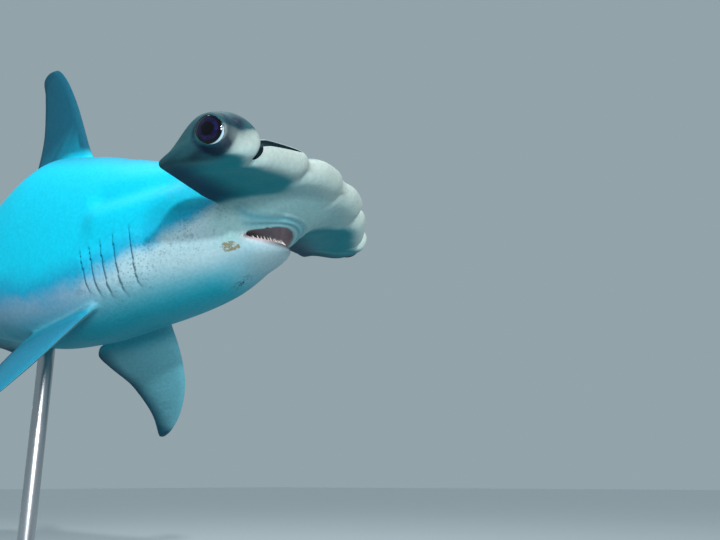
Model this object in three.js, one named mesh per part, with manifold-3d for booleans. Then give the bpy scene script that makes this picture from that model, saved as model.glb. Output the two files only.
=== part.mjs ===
// A scalloped hammerhead shark at life size, swimming with its head turned to its left and lifted,
// its mouth part open, held over a flat base by two rods. Every length on the animal is given in
// hundredths of its total length, and TOTAL_LENGTH turns those into millimetres.
//
// A place on the body has three numbers: s, the distance back from the snout along the spine,
// y to the animal's left, and z up, both square to the spine at that place.

import * as THREE from 'three';
import { mergeVertices } from 'three/addons/utils/BufferGeometryUtils.js';
import Module from 'manifold-3d';

// Driving dimensions, in millimetres and degrees.
const TOTAL_LENGTH = 2600;
const SNOUT_HEIGHT = 930;
const HEAD_LIFT = 18.7;
const TRUNK_HEADING = 20.55;
const JOINT_GAP = 0.3;

// The spine's bends, in degrees, each with the stretch of s over which it comes on.
const BENDS = {
  nape: { angle: 28, from: 11, to: 30 },
  loin: { angle: -14, from: 28, to: 60 },
  neckTurn: { angle: 23, from: 11, to: 40 },
  tailTurn: { angle: -15, from: 48, to: 80 },
  untwist: { angle: -7, from: 40, to: 78 },
};

// The body's stations: half width, and the heights of back and belly over the spine.
const STATIONS = [
  { s: 1.3, width: 1.2, back: 0.1, belly: -1.2 },
  { s: 2.4, width: 2.9, back: 1.0, belly: -1.6 },
  { s: 4.2, width: 3.7, back: 2.0, belly: -1.95 },
  { s: 6.4, width: 4.0, back: 3.05, belly: -2.3 },
  { s: 8.6, width: 4.25, back: 4.2, belly: -3.1 },
  { s: 11, width: 4.75, back: 5.7, belly: -4.5 },
  { s: 14, width: 5.35, back: 7.4, belly: -5.25 },
  { s: 20, width: 6.05, back: 9.4, belly: -5.7 },
  { s: 26, width: 6.3, back: 10.35, belly: -6.9 },
  { s: 31, width: 6.35, back: 10.5, belly: -7.6 },
  { s: 39, width: 5.95, back: 6.7, belly: -7.2 },
  { s: 48, width: 4.9, back: 5.5, belly: -6.0 },
  { s: 57, width: 3.6, back: 4.6, belly: -4.5 },
  { s: 65, width: 2.4, back: 3.4, belly: -2.9 },
  { s: 71, width: 1.6, back: 2.3, belly: -1.9 },
  { s: 76, width: 1.0, back: 1.9, belly: -0.9 },
];
const SECTION_POWER = 2.15;
const WAIST = 0.35;

// Where the body is parted.
const CUTS = { nape: 12.4, shoulder: 23, waist: 43, loin: 59, tailEnd: 76 };

// The hammer: half span, front and rear margins, notches in the front margin and thickness.
const HAMMER = {
  halfSpan: 13.75,
  frontMiddle: 0.75,
  frontSweep: 3.0,
  sweepSpan: 11,
  sweepEnd: 12.6,
  tipRound: 0.75,
  tipRoundStart: 11.8,
  tipStart: 12.1,
  rear: 10.5,
  rearCorner: 12.7,
  cornerBow: [2.2, 0.7],
  outerEdge: 6.4,
  topThickness: 1.35,
  eyeLobe: { height: 1.15, from: 10.5, to: 12.1, forward: 0.75, at: 11.8, width: 0.85 },
  leftLift: 0.8,
  bottomThickness: 1.2,
  frontDroop: -0.65,
  tipLift: 0.1,
  thickest: 0.3,
  rearEdge: 0.14,
  leastLength: 0.15,
  pad: { depth: 0.28, at: 0.13, width: 0.12 },
};
const NOTCHES = [
  { at: 0, width: 0.95, depth: 0.7 },
  { at: 5.4, width: 0.8, depth: 0.6 },
  { at: 10.6, width: 0.4, depth: 0.4 },
];

const EYE = {
  s: 5.9,
  y: 13.6,
  z: 0.15,
  radius: 1.1,
  sunk: 0.5,
  rim: 0.11,
  facing: [-0.05, 1, -0.13],
  orbit: { depth: 1.1, spread: 1.5 },
};
const NOSTRIL = { s: 4.4, y: 10.6, z: -0.7, length: 1.5, width: 0.22, depth: 0.9 };

// The mouth: its corners, the front of the upper lip and the tip of the lower jaw.
const MOUTH = {
  cornerS: 9.9,
  cornerY: 3.3,
  cornerZ: -2.45,
  lipFrontS: 6.9,
  lipFrontZ: -2.15,
  roofRise: 0.75,
  jawTipS: 7.5,
  jawTipZ: -3.45,
  jawDepth: 0.5,
  throatRise: 0.2,
  cheekSpread: 0.12,
  clearOfRim: 0.06,
};
const TEETH = { count: 25, height: 0.42, root: 0.22, width: 0.11, inset: 0.2, reach: 0.85, seed: 11 };

// Gill slits: place along the body at the top end and at the bottom end, and the ends' heights.
const GILLS = [
  { top: 17.65, bottom: 17.9, high: 0.7, low: -3.5 },
  { top: 19.1, bottom: 19.15, high: 0.5, low: -3.7 },
  { top: 20.2, bottom: 20.15, high: 0.2, low: -3.7 },
  { top: 21.2, bottom: 20.95, high: 0, low: -3.5 },
  { top: 22.05, bottom: 21.7, high: -0.2, low: -3.2 },
];
const GILL_LIFT = 0.22;
const GILL_STEP = 0.3;
const GILL_MOUTH = 0.16;

const STAND = {
  length: 1300,
  width: 640,
  thickness: 16,
  corner: 60,
  middle: 40,
  rods: { front: 33, rear: 52 },
  rodRadius: 19,
  footRadius: 55,
  footHeight: 14,
};

const UNIT = TOTAL_LENGTH / 100;
const RING_POINTS = 26;
const MOUTH_POINTS = 20;
const wasm = await Module();
wasm.setup();

// Small numeric helpers.
const radians = THREE.MathUtils.degToRad;
const lerp = THREE.MathUtils.lerp;
const smooth = (t, from, to) => THREE.MathUtils.smoothstep(t, from, to);
const steps = (count, from, to) =>
  Array.from({ length: count + 1 }, (_, i) => lerp(from, to, i / count));
const dip = (x, at, width) => Math.exp(-(((x - at) / width) ** 2));
const signedPower = (x, power) => Math.sign(x) * Math.abs(x) ** power;

function seededRandom(seed) {
  let state = seed;
  return () => {
    state = (state * 1664525 + 1013904223) % 4294967296;
    return state / 4294967296;
  };
}

// A smooth curve through rows of [place, value] that never overshoots between them.
function curveThrough(rows) {
  const slopes = rows.slice(1).map((row, i) => (row[1] - rows[i][1]) / (row[0] - rows[i][0]));
  const tangents = rows.map((_, i) => {
    if (i === 0) return slopes[0];
    if (i === rows.length - 1) return slopes[i - 1];
    const product = slopes[i - 1] * slopes[i];
    return product <= 0 ? 0 : (2 * product) / (slopes[i - 1] + slopes[i]);
  });
  return (x) => {
    let i = 0;
    while (i < rows.length - 2 && x > rows[i + 1][0]) i += 1;
    const span = rows[i + 1][0] - rows[i][0];
    const t = THREE.MathUtils.clamp((x - rows[i][0]) / span, 0, 1);
    const rise = rows[i + 1][1] - rows[i][1];
    const start = tangents[i] * span;
    const end = tangents[i + 1] * span;
    const curve = start * t + (3 * rise - 2 * start - end) * t * t;
    return rows[i][1] + curve + (start + end - 2 * rise) * t * t * t;
  };
}

// The spine: a frame at each place, made by walking back from the snout.
const bend = (name, s) => radians(BENDS[name].angle) * smooth(s, BENDS[name].from, BENDS[name].to);

function axesAt(s) {
  const pitch = bend('nape', s) + bend('loin', s);
  const turn = bend('neckTurn', s) + bend('tailTurn', s);
  const back = new THREE.Vector3(
    -Math.cos(pitch) * Math.cos(turn),
    Math.cos(pitch) * Math.sin(turn),
    Math.sin(pitch),
  );
  const left = new THREE.Vector3(Math.sin(turn), Math.cos(turn), 0);
  left.applyAxisAngle(back, -bend('untwist', s));
  const up = new THREE.Vector3().crossVectors(left, back);
  return { back, left, up };
}

const headToWorld = new THREE.Matrix4()
  .makeRotationZ(radians(TRUNK_HEADING))
  .multiply(new THREE.Matrix4().makeRotationY(-radians(HEAD_LIFT)));

const SPINE_STEP = 0.25;
const SPINE_END = 104;
const spine = [];
{
  const point = new THREE.Vector3();
  for (let s = 0; s <= SPINE_END; s += SPINE_STEP) {
    spine.push(point.clone());
    point.addScaledVector(axesAt(s + SPINE_STEP / 2).back, SPINE_STEP);
  }
}

function spinePoint(s) {
  const place = THREE.MathUtils.clamp(s / SPINE_STEP, 0, spine.length - 2);
  const index = Math.floor(place);
  return spine[index].clone().lerp(spine[index + 1], place - index);
}

const standMiddle = spinePoint(STAND.middle).applyMatrix4(headToWorld).multiplyScalar(UNIT);
const bodyShift = new THREE.Vector3(-standMiddle.x, -standMiddle.y, SNOUT_HEIGHT);

// The world point of a place on the body.
function bodyPoint(s, y, z) {
  const { left, up } = axesAt(s);
  const point = spinePoint(s).addScaledVector(left, y).addScaledVector(up, z);
  return point.applyMatrix4(headToWorld).multiplyScalar(UNIT).add(bodyShift);
}

// The body's section at s, grown by a margin all round, as one point for each angle.
const widthAt = curveThrough(STATIONS.map((row) => [row.s, row.width]));
const backAt = curveThrough(STATIONS.map((row) => [row.s, row.back]));
const bellyAt = curveThrough(STATIONS.map((row) => [row.s, row.belly]));

function sectionPoint(s, angle, margin = 0) {
  const back = backAt(s);
  const belly = bellyAt(s);
  const middle = lerp(belly, back, WAIST);
  const across = signedPower(Math.cos(angle), 2 / SECTION_POWER);
  const height = signedPower(Math.sin(angle), 2 / SECTION_POWER);
  const reach = height > 0 ? back - middle : middle - belly;
  return [(widthAt(s) + margin) * across, middle + (reach + margin) * height];
}

// A closed surface through rings of points, all with the same count. Its faces point outwards
// when the rings turn to the left as seen along the way from the first ring to the last.
function loft(rings) {
  const count = rings[0].length;
  const positions = rings.flat().flatMap((p) => [p.x, p.y, p.z]);
  const faces = [];
  for (let ring = 0; ring < rings.length - 1; ring += 1) {
    for (let i = 0; i < count; i += 1) {
      const a = ring * count + i;
      const b = ring * count + ((i + 1) % count);
      faces.push(a, a + count, b, b, a + count, b + count);
    }
  }
  for (const [first, turn] of [[0, true], [(rings.length - 1) * count, false]]) {
    const centre = positions.length / 3;
    const ring = first === 0 ? rings[0] : rings[rings.length - 1];
    const middle = ring.reduce((sum, p) => sum.add(p), new THREE.Vector3());
    positions.push(...middle.divideScalar(count).toArray());
    for (let i = 0; i < count; i += 1) {
      const a = first + i;
      const b = first + ((i + 1) % count);
      faces.push(...(turn ? [centre, a, b] : [centre, b, a]));
    }
  }
  const geometry = new THREE.BufferGeometry();
  geometry.setAttribute('position', new THREE.Float32BufferAttribute(positions, 3));
  geometry.setIndex(faces);
  return geometry;
}

// Solids for joining and cutting.
function signedVolume(vertices, triangles) {
  const corner = (i) => new THREE.Vector3().fromArray(vertices, triangles[i] * 3);
  let volume = 0;
  for (let i = 0; i < triangles.length; i += 3) {
    volume += corner(i).dot(corner(i + 1).cross(corner(i + 2))) / 6;
  }
  return volume;
}

function solid(source) {
  const bare = source.clone();
  for (const name of ['normal', 'uv']) bare.deleteAttribute(name);
  const merged = mergeVertices(bare, 1e-4);
  const vertProperties = Float32Array.from(merged.attributes.position.array);
  const triVerts = Uint32Array.from(merged.index.array);
  if (signedVolume(vertProperties, triVerts) < 0) {
    for (let i = 0; i < triVerts.length; i += 3) {
      [triVerts[i], triVerts[i + 1]] = [triVerts[i + 1], triVerts[i]];
    }
  }
  return new wasm.Manifold(new wasm.Mesh({ numProp: 3, vertProperties, triVerts }));
}

// The largest closed surface of a solid, as a geometry.
function geometryOf(shape) {
  const pieces = shape.decompose();
  pieces.sort((a, b) => b.volume() - a.volume());
  const mesh = pieces[0].getMesh();
  const geometry = new THREE.BufferGeometry();
  geometry.setAttribute('position', new THREE.Float32BufferAttribute(mesh.vertProperties, 3));
  geometry.setIndex(Array.from(mesh.triVerts));
  return geometry;
}

const joinAll = (shapes) => shapes.reduce((sum, shape) => sum.add(shape));

// A stretch of the body between two cuts, each end short of its cut by half the gap.
function bodyRings(places, margin = 0, relief = () => 0) {
  return places.map((s) =>
    Array.from({ length: RING_POINTS }, (_, i) => {
      const angle = (2 * Math.PI * i) / RING_POINTS;
      const height = sectionPoint(s, angle, margin)[1];
      return bodyPoint(s, ...sectionPoint(s, angle, margin + relief(s, height)));
    }),
  );
}

const HALF_GAP = JOINT_GAP / 2 / UNIT;
const GILL_MIDDLES = GILLS.map((gill) => (gill.top + gill.bottom) / 2);
const slitPlaces = GILL_MIDDLES.flatMap((s) => [s - 0.02, s + 0.03, s + GILL_MOUTH - 0.02, s + GILL_MOUTH + 0.04]);
const stretch = (from, to, count) => steps(count, from + HALF_GAP, to - HALF_GAP);
const STRETCHES = {
  front: stretch(STATIONS[0].s - HALF_GAP, CUTS.nape, 12),
  neck: [...stretch(CUTS.nape, 17, 4), ...slitPlaces, CUTS.shoulder - HALF_GAP],
  torso_front: stretch(CUTS.shoulder, CUTS.waist, 12),
  torso_rear: stretch(CUTS.waist, CUTS.loin, 9),
  tail: stretch(CUTS.loin, CUTS.tailEnd, 9),
};

// Gill flaps: the skin lifts towards each slit and drops behind it, between the slit's two ends.
function gillRelief(s, z) {
  let relief = 0;
  GILLS.forEach((gill, i) => {
    const place = GILL_MIDDLES[i];
    const previous = i > 0 ? GILL_MIDDLES[i - 1] : place - 1.6;
    const below = smooth(z, gill.low - 0.5, gill.low + 0.6);
    const fade = below * (1 - smooth(z, gill.high - 0.6, gill.high + 0.5));
    if (s > previous + GILL_MOUTH && s <= place) relief += fade * GILL_LIFT * smooth(s, previous, place);
    if (s > place && s <= place + GILL_MOUTH) relief -= fade * GILL_STEP;
  });
  return relief;
}

// The whole body grown by the gap, for cutting what stands on it.
const allPlaces = [...Object.values(STRETCHES).flat(), CUTS.tailEnd + HALF_GAP];
const lifted = (s, z) => Math.max(0, gillRelief(s, z));
const clearance = solid(loft(bodyRings(allPlaces, HALF_GAP * 2, lifted)));

// The hammer's section at y, front to rear along its top and back along its underside.
function hammerFront(y) {
  const out = Math.abs(y);
  const { eyeLobe, tipRoundStart } = HAMMER;
  const sweep = HAMMER.frontSweep * (Math.min(out, HAMMER.sweepEnd) / HAMMER.sweepSpan) ** 2;
  const notch = NOTCHES.reduce((sum, n) => sum + n.depth * dip(out, n.at, n.width), 0);
  const past = Math.max(0, (out - tipRoundStart) / (HAMMER.halfSpan - tipRoundStart));
  const lobe = eyeLobe.forward * dip(out, eyeLobe.at, eyeLobe.width);
  const round = HAMMER.tipRound * (1 - Math.sqrt(Math.max(0, 1 - past * past)));
  return HAMMER.frontMiddle + sweep + notch - lobe + round;
}

function hammerRear(y) {
  const past = Math.max(0, (Math.abs(y) - HAMMER.rearCorner) / (HAMMER.halfSpan - HAMMER.rearCorner));
  const [inner, outer] = HAMMER.cornerBow;
  return lerp(HAMMER.outerEdge, HAMMER.rear, Math.max(0, 1 - past ** inner) ** outer);
}

function hammerProfile(u) {
  if (u < HAMMER.thickest) return Math.sqrt(1 - (1 - u / HAMMER.thickest) ** 2);
  const fall = 0.5 + 0.5 * Math.cos((Math.PI * (u - HAMMER.thickest)) / (1 - HAMMER.thickest));
  return HAMMER.rearEdge + (1 - HAMMER.rearEdge) * fall;
}

function hammerRing(y) {
  const out = Math.abs(y);
  const front = hammerFront(y);
  const rear = Math.max(hammerRear(y), front + HAMMER.leastLength);
  const past = Math.max(0, (out - HAMMER.tipStart) / (HAMMER.halfSpan - HAMMER.tipStart));
  const tip = Math.sqrt(Math.max(0.0004, 1 - past * past));
  const chord = [0, 0.02, 0.08, 0.18, 0.34, 0.54, 0.78, 1];
  const { eyeLobe, pad } = HAMMER;
  const droop = lerp(HAMMER.frontDroop, HAMMER.tipLift, smooth(out, eyeLobe.from, HAMMER.halfSpan));
  const lobes = 1 - NOTCHES.reduce((sum, n) => sum + dip(out, n.at, n.width * 1.3), 0);
  const point = (u, side) => {
    const lift = HAMMER.leftLift * smooth(y, 5, HAMMER.rearCorner) * smooth(u, 0.3, 1);
    const middle = lerp(droop, 0, smooth(u, 0, 0.6)) + lift;
    const swelling = side < 0 ? pad.depth * lobes * dip(u, pad.at, pad.width) * tip : 0;
    const top = HAMMER.topThickness + eyeLobe.height * smooth(out, eyeLobe.from, eyeLobe.to);
    const thick = (side > 0 ? top : HAMMER.bottomThickness) * hammerProfile(u) * tip;
    return bodyPoint(lerp(front, rear, u), y, middle + side * (thick + swelling));
  };
  const top = chord.map((u) => point(u, 1));
  const bottom = chord.slice(1).reverse().map((u) => point(u, -1));
  return [...top, ...bottom];
}

function hammerSolid() {
  const half = [
    0, 0.6, 1.3, 2.2, 3.3, 4.3, 4.9, 5.4, 5.9, 6.6, 7.7, 8.9, 9.8, 10.25, 10.6, 10.95, 11.5, 12.2, 12.7,
    13.15, 13.45, 13.65, 13.735,
  ];
  const span = [...half.slice(1).reverse().map((y) => -y), ...half];
  return solid(loft(span.map(hammerRing)));
}

// A ball, oval or ring placed on the body.
function ballAt(place, radii, detail = [14, 9]) {
  const ball = new THREE.SphereGeometry(1, ...detail);
  const { back, left, up } = axesAt(place[0]);
  const turn = new THREE.Matrix4().makeBasis(back.clone().negate(), left, up).premultiply(headToWorld);
  ball.applyMatrix4(new THREE.Matrix4().makeScale(...radii.map((r) => r * UNIT)));
  ball.applyMatrix4(turn);
  const at = bodyPoint(...place);
  ball.translate(at.x, at.y, at.z);
  return ball;
}

// Lower jaw: a bow with a blunt tip, its rim falling from the mouth's corners to the tip.
const rimHeight = (s) => lerp(MOUTH.jawTipZ, MOUTH.cornerZ, (s - MOUTH.jawTipS) / (MOUTH.cornerS - MOUTH.jawTipS));
const rimHalfWidth = (s) => {
  const along = THREE.MathUtils.clamp((s - MOUTH.jawTipS) / (MOUTH.cornerS - MOUTH.jawTipS), 0, 1);
  return MOUTH.cornerY * Math.sqrt(along) * (1 + 0.08 * (1 - along));
};

function jawRing(s) {
  const half = Math.max(0.05, rimHalfWidth(s));
  const rim = rimHeight(Math.min(s, MOUTH.cornerS + 0.3));
  const along = (s - MOUTH.jawTipS) / (CUTS.nape - MOUTH.jawTipS);
  const under = lerp(MOUTH.jawTipZ - MOUTH.jawDepth, bellyAt(CUTS.nape) + MOUTH.throatRise, along);
  const depth = rim - under;
  const width = half + MOUTH.cheekSpread * Math.max(0, s - MOUTH.cornerS);
  return Array.from({ length: MOUTH_POINTS }, (_, i) => {
    const angle = (2 * Math.PI * i) / MOUTH_POINTS;
    const y = width * signedPower(Math.cos(angle), 0.85);
    const sin = Math.sin(angle);
    return bodyPoint(s, y, sin > 0 ? rim + 0.05 * sin : rim - depth * signedPower(-sin, 0.8));
  });
}

function jawSolid() {
  const places = [0.004, 0.03, 0.1, 0.25, 0.5, 0.9, 1.4, 2, 2.6, 3.4, 4.2, CUTS.nape - MOUTH.jawTipS];
  return solid(loft(places.map((back) => jawRing(MOUTH.jawTipS + back))));
}

// The mouth's hollow: from the roof down to the floor inside the rim.
const mouthAlong = (s) =>
  THREE.MathUtils.clamp((s - MOUTH.lipFrontS) / (MOUTH.cornerS - MOUTH.lipFrontS), 0, 1);
const lipHeight = (s) => lerp(MOUTH.lipFrontZ, MOUTH.cornerZ, mouthAlong(s));

function mouthRing(s) {
  const along = mouthAlong(s);
  const half = Math.max(0.06, MOUTH.cornerY * Math.sqrt(along) * 1.12);
  const lip = lipHeight(s);
  const floor = Math.min(rimHeight(Math.max(s, MOUTH.jawTipS)), lip) - MOUTH.clearOfRim;
  const roof = MOUTH.roofRise * Math.sin(Math.PI * Math.min(0.98, along + 0.12)) ** 0.5;
  return Array.from({ length: MOUTH_POINTS }, (_, i) => {
    const angle = (2 * Math.PI * i) / MOUTH_POINTS;
    const sin = Math.sin(angle);
    const y = half * signedPower(Math.cos(angle), sin > 0 ? 0.9 : 0.15);
    return bodyPoint(s, y, sin > 0 ? lip + roof * sin : lerp(lip, floor, Math.sqrt(-sin)));
  });
}

function mouthSolid() {
  const places = [0.01, 0.06, 0.2, 0.45, 0.8, 1.2, 1.7, 2.2, 2.6, 2.9, 3];
  return solid(loft(places.map((back) => mouthRing(MOUTH.lipFrontS + back))));
}

// The slab of space that belongs to the lower jaw: all below the rim, behind the tip.
function jawSpace(margin) {
  const low = -9;
  const half = 8;
  const ring = (s) => [
    bodyPoint(s, -half, low),
    bodyPoint(s, half, low),
    bodyPoint(s, half, rimHeight(s) - margin),
    bodyPoint(s, -half, rimHeight(s) - margin),
  ];
  return solid(loft([6, 10.05, CUTS.nape + 1].map(ring)));
}

function toothSolids() {
  const random = seededRandom(TEETH.seed);
  return Array.from({ length: TEETH.count }, (_, i) => {
    const t = lerp(-TEETH.reach, TEETH.reach, i / (TEETH.count - 1)) + (random() - 0.5) * 0.02;
    const s = MOUTH.jawTipS + 0.14 + (MOUTH.cornerS - MOUTH.jawTipS) * t * t * 0.93;
    const y = Math.sign(t) * (rimHalfWidth(s) - TEETH.inset);
    const size = (0.75 + 0.4 * random()) * lerp(1, 0.6, Math.abs(t));
    const height = Math.min(TEETH.height * size, 0.6 * (lipHeight(s) - rimHeight(s)));
    const tooth = new THREE.ConeGeometry(TEETH.width * size * UNIT, (height + TEETH.root) * UNIT, 4);
    tooth.rotateX(Math.PI / 2);
    tooth.translate(0, 0, ((height - TEETH.root) / 2) * UNIT);
    tooth.rotateZ(random() * Math.PI);
    tooth.rotateY((random() - 0.5) * 0.25);
    const { back, left, up } = axesAt(s);
    tooth.applyMatrix4(new THREE.Matrix4().makeBasis(back.clone().negate(), left, up).premultiply(headToWorld));
    const at = bodyPoint(s, y, rimHeight(s));
    tooth.translate(at.x, at.y, at.z);
    return solid(tooth);
  });
}

// A thin blade between two edges. Both faces are split alike, so a curved blade never crosses
// itself. place turns an edge point and an offset from the blade's middle into a world point.
function blade({ stations, lead, trail, thickness, place }) {
  const chord = [0, 0.03, 0.12, 0.28, 0.5, 0.75, 1];
  const profile = (u) => Math.max(0.08, 2.6 * Math.sqrt(u) * (1 - u) ** 0.9);
  const rings = stations.map((t) => {
    const from = lead(t);
    const to = trail(t);
    const point = (u, side) => {
      const edge = u === 0 ? 0 : side * profile(u) * thickness(t) * 0.5;
      return place(lerp(from[0], to[0], u), lerp(from[1], to[1], u), edge);
    };
    const near = chord.map((u) => point(u, 1));
    const far = chord.slice(1).reverse().map((u) => point(u, -1));
    return [...near, ...far];
  });
  return solid(loft(rings));
}

// Fins. Each has a front margin and a rear margin, as rows of [height, s], and a thickness at its
// root and near its tip, all in hundredths of the total length.
const FINS = {
  dorsal_first: {
    side: 1,
    front: [[-1.6, 27.6], [0, 29.1], [3, 30.8], [6.5, 32.5], [9.8, 34.2], [11.4, 35.3], [12.15, 36.5]],
    rear: [[-1.6, 37.4], [0.15, 37.6], [0.6, 39.6], [1.2, 39], [2.6, 37.5], [6, 36.7], [10.2, 37], [11.7, 37.35], [12.15, 37.1]],
    thick: [1.15, 0.3],
    foot: (s) => backAt(s),
  },
  dorsal_second: {
    side: 1,
    front: [[-1.2, 61.8], [0, 62.6], [1.2, 63.8], [2, 64.8], [2.5, 65.9]],
    rear: [[-1.2, 66.1], [0.15, 66.3], [0.4, 71.2], [0.8, 70.2], [1.4, 67.9], [2.5, 66.6]],
    thick: [0.5, 0.2],
    foot: (s) => backAt(s),
  },
  anal_fin: {
    side: -1,
    front: [[-1.2, 59.6], [0, 60.6], [1.6, 62.2], [2.7, 63.6], [3.3, 65]],
    rear: [[-1.2, 65.6], [0.15, 65.9], [0.45, 69], [0.9, 68.3], [1.5, 66.3], [2.4, 65.6], [3.3, 66]],
    thick: [0.5, 0.2],
    foot: (s) => bellyAt(s),
  },
};

// Past this length behind its front root a median fin's free end runs straight back.
const ROOT_LENGTH = 8;

function medianFin({ side, front, rear, thick, foot }) {
  const frontAt = curveThrough(front);
  const rearAt = curveThrough(rear);
  const low = front[0][0];
  const high = front[front.length - 1][0];
  const stations = [...steps(9, low, high * 0.86), high * 0.93, high * 0.975, high];
  return blade({
    stations,
    lead: (h) => [frontAt(h), h],
    trail: (h) => [rearAt(h), h],
    thickness: (h) => lerp(thick[0], thick[1], Math.max(0, h / high)) * (h === high ? 0.4 : 1),
    place: (s, h, off) => bodyPoint(s, off, foot(Math.min(s, front[1][1] + ROOT_LENGTH)) + side * h),
  }).subtract(clearance);
}

// Paired fins stand out from a root line on the body, along a direction out and down.
const PAIRED = {
  pectoral: {
    root: { y: 4.5, z: -4.3 },
    fall: 0.94,
    curve: 0.006,
    tilt: 0.3,
    front: [[-2.6, 21.3], [0, 21.6], [3, 22.1], [6.5, 23], [10, 24.7], [12.6, 26.9], [13.5, 28.3]],
    rear: [[-2.6, 27], [0.3, 27.2], [1.6, 29.9], [2.8, 30.9], [4.2, 30.4], [7, 28.9], [10.5, 28.4], [13.5, 29]],
    thick: [1.1, 0.25],
  },
  pelvic: {
    root: { y: 2.5, z: -5.1 },
    fall: 0.55,
    curve: 0.006,
    tilt: 0.1,
    front: [[-1.5, 47], [0, 47.4], [1.5, 48.3], [3, 49.6], [4, 50.9], [4.4, 51.8]],
    rear: [[-1.5, 51.6], [0.2, 51.8], [0.9, 53.6], [1.6, 53.9], [2.6, 53.1], [4.4, 52.3]],
    thick: [0.6, 0.2],
  },
};

function pairedFin({ root, fall, curve, tilt, front, rear, thick }, side) {
  const frontAt = curveThrough(front);
  const rearAt = curveThrough(rear);
  const low = front[0][0];
  const high = front[front.length - 1][0];
  const out = new THREE.Vector2(1, -fall).normalize();
  const stations = [...steps(10, low, high * 0.88), high * 0.94, high * 0.98, high];
  return blade({
    stations,
    lead: (h) => [frontAt(h), h],
    trail: (h) => [rearAt(h), h],
    thickness: (h) => lerp(thick[0], thick[1], Math.max(0, h / high)) * (h === high ? 0.4 : 1),
    place: (s, h, off) => {
      const drop = curve * Math.max(0, h) ** 2 + tilt * (s - front[1][1]);
      const y = root.y + out.x * h - out.y * (off - drop);
      const z = root.z + out.y * h + out.x * (off - drop);
      return bodyPoint(s, side * y, z);
    },
  }).subtract(clearance);
}

// Tail fin: a long upper lobe with a notch near its end, and a lower lobe, joined.
const CAUDAL = {
  upper: {
    front: [[68.5, 1.4], [71, 2.2], [74, 3.9], [80, 8.3], [86, 13.1], [91, 16.9], [94.4, 19.5], [96.2, 20.8]],
    rear: [[68.5, -0.6], [73, -2.2], [76, -1.2], [80, 2.6], [86, 7.9], [90, 11.6], [91.6, 13.3], [92.4, 12.6],
      [94.8, 15.9], [96.2, 19.9]],
    thick: [1.5, 0.25],
  },
  lower: {
    front: [[0, 69.8], [1, 70.3], [4, 72], [7.5, 74.4], [10.5, 77.2], [11.6, 78.8]],
    rear: [[0, 78.6], [1, 78.1], [4, 77.6], [7.5, 78.2], [10.5, 79.3], [11.6, 79.7]],
    thick: [0.8, 0.25],
    top: 1.4,
  },
  parting: { s: 70, z: -1.9, slope: 0.28 },
};

// The space below the line where the two lobes are parted.
function lowerLobeSpace(margin) {
  const { parting } = CAUDAL;
  const half = 6;
  const low = -16;
  const ring = (s) => {
    const top = parting.z + parting.slope * (s - parting.s) - margin;
    return [[-half, low], [half, low], [half, top], [-half, top]].map((corner) => bodyPoint(s, ...corner));
  };
  return solid(loft([66, 74, 82, 90].map(ring)));
}

function caudalLobes() {
  const { upper, lower } = CAUDAL;
  const frontAt = curveThrough(upper.front);
  const rearAt = curveThrough(upper.rear);
  const from = upper.front[0][0];
  const to = upper.front[upper.front.length - 1][0];
  const places = [...steps(12, from, 90.4), 91.2, 91.7, 92.3, 93, 94.2, 95.4, to];
  const upperBlade = blade({
    stations: places,
    lead: (s) => [s, frontAt(s)],
    trail: (s) => [s + 0.01, rearAt(s)],
    thickness: (s) => lerp(upper.thick[0], upper.thick[1], smooth(s, 70, 92)) * (s === to ? 0.4 : 1),
    place: (s, z, off) => bodyPoint(s, off, z),
  });
  const lowerFront = curveThrough(lower.front);
  const lowerRear = curveThrough(lower.rear);
  const depth = lower.front[lower.front.length - 1][0];
  const lowerBlade = blade({
    stations: [...steps(9, 0, depth * 0.88), depth * 0.95, depth],
    lead: (h) => [lowerFront(h), h],
    trail: (h) => [lowerRear(h), h],
    thickness: (h) => lerp(lower.thick[0], lower.thick[1], h / depth) * (h === depth ? 0.4 : 1),
    place: (s, h, off) => bodyPoint(s, off, lower.top - h),
  });
  const whole = upperBlade.add(lowerBlade).subtract(clearance);
  return {
    caudal_upper: whole.subtract(lowerLobeSpace(-HALF_GAP)),
    caudal_lower: whole.intersect(lowerLobeSpace(HALF_GAP)),
  };
}

// The head: the front of the body joined to the hammer, with the mouth, nostrils and eye sockets.
function headSolids() {
  const front = solid(loft(bodyRings(STRETCHES.front)));
  const whole = front.add(hammerSolid()).add(jawSolid());
  const opened = whole.subtract(mouthSolid());
  const nape = solid(loft(bodyRings([CUTS.nape - HALF_GAP, CUTS.nape + 2], 3)));
  const jaw = opened.intersect(jawSpace(HALF_GAP)).subtract(nape);
  let head = opened.subtract(jawSpace(-HALF_GAP)).subtract(nape);
  for (const side of [1, -1]) {
    head = head.add(orbit(side)).subtract(eyeBall(side, HALF_GAP * 2)).subtract(nostril(side));
  }
  return { head, jaw: joinAll([jaw, ...toothSolids()]) };
}

// The eye looks out, a little forward and down. Its ball is sunk behind the plane of its rim.
function eyeFrame(side) {
  const { back, left, up } = axesAt(EYE.s);
  const [forward, out, rise] = EYE.facing;
  const facing = new THREE.Vector3().addScaledVector(back, -forward).addScaledVector(left, side * out);
  facing.addScaledVector(up, rise).transformDirection(headToWorld);
  return { facing, rim: bodyPoint(EYE.s, side * EYE.y, EYE.z) };
}

function eyeBall(side, margin = 0) {
  const { facing, rim } = eyeFrame(side);
  const ball = new THREE.SphereGeometry((EYE.radius + margin) * UNIT, 18, 12);
  ball.rotateX(Math.PI / 2);
  ball.applyQuaternion(new THREE.Quaternion().setFromUnitVectors(new THREE.Vector3(0, 0, 1), facing));
  const centre = rim.addScaledVector(facing, -EYE.sunk * UNIT);
  ball.translate(centre.x, centre.y, centre.z);
  return solid(ball);
}

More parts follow.
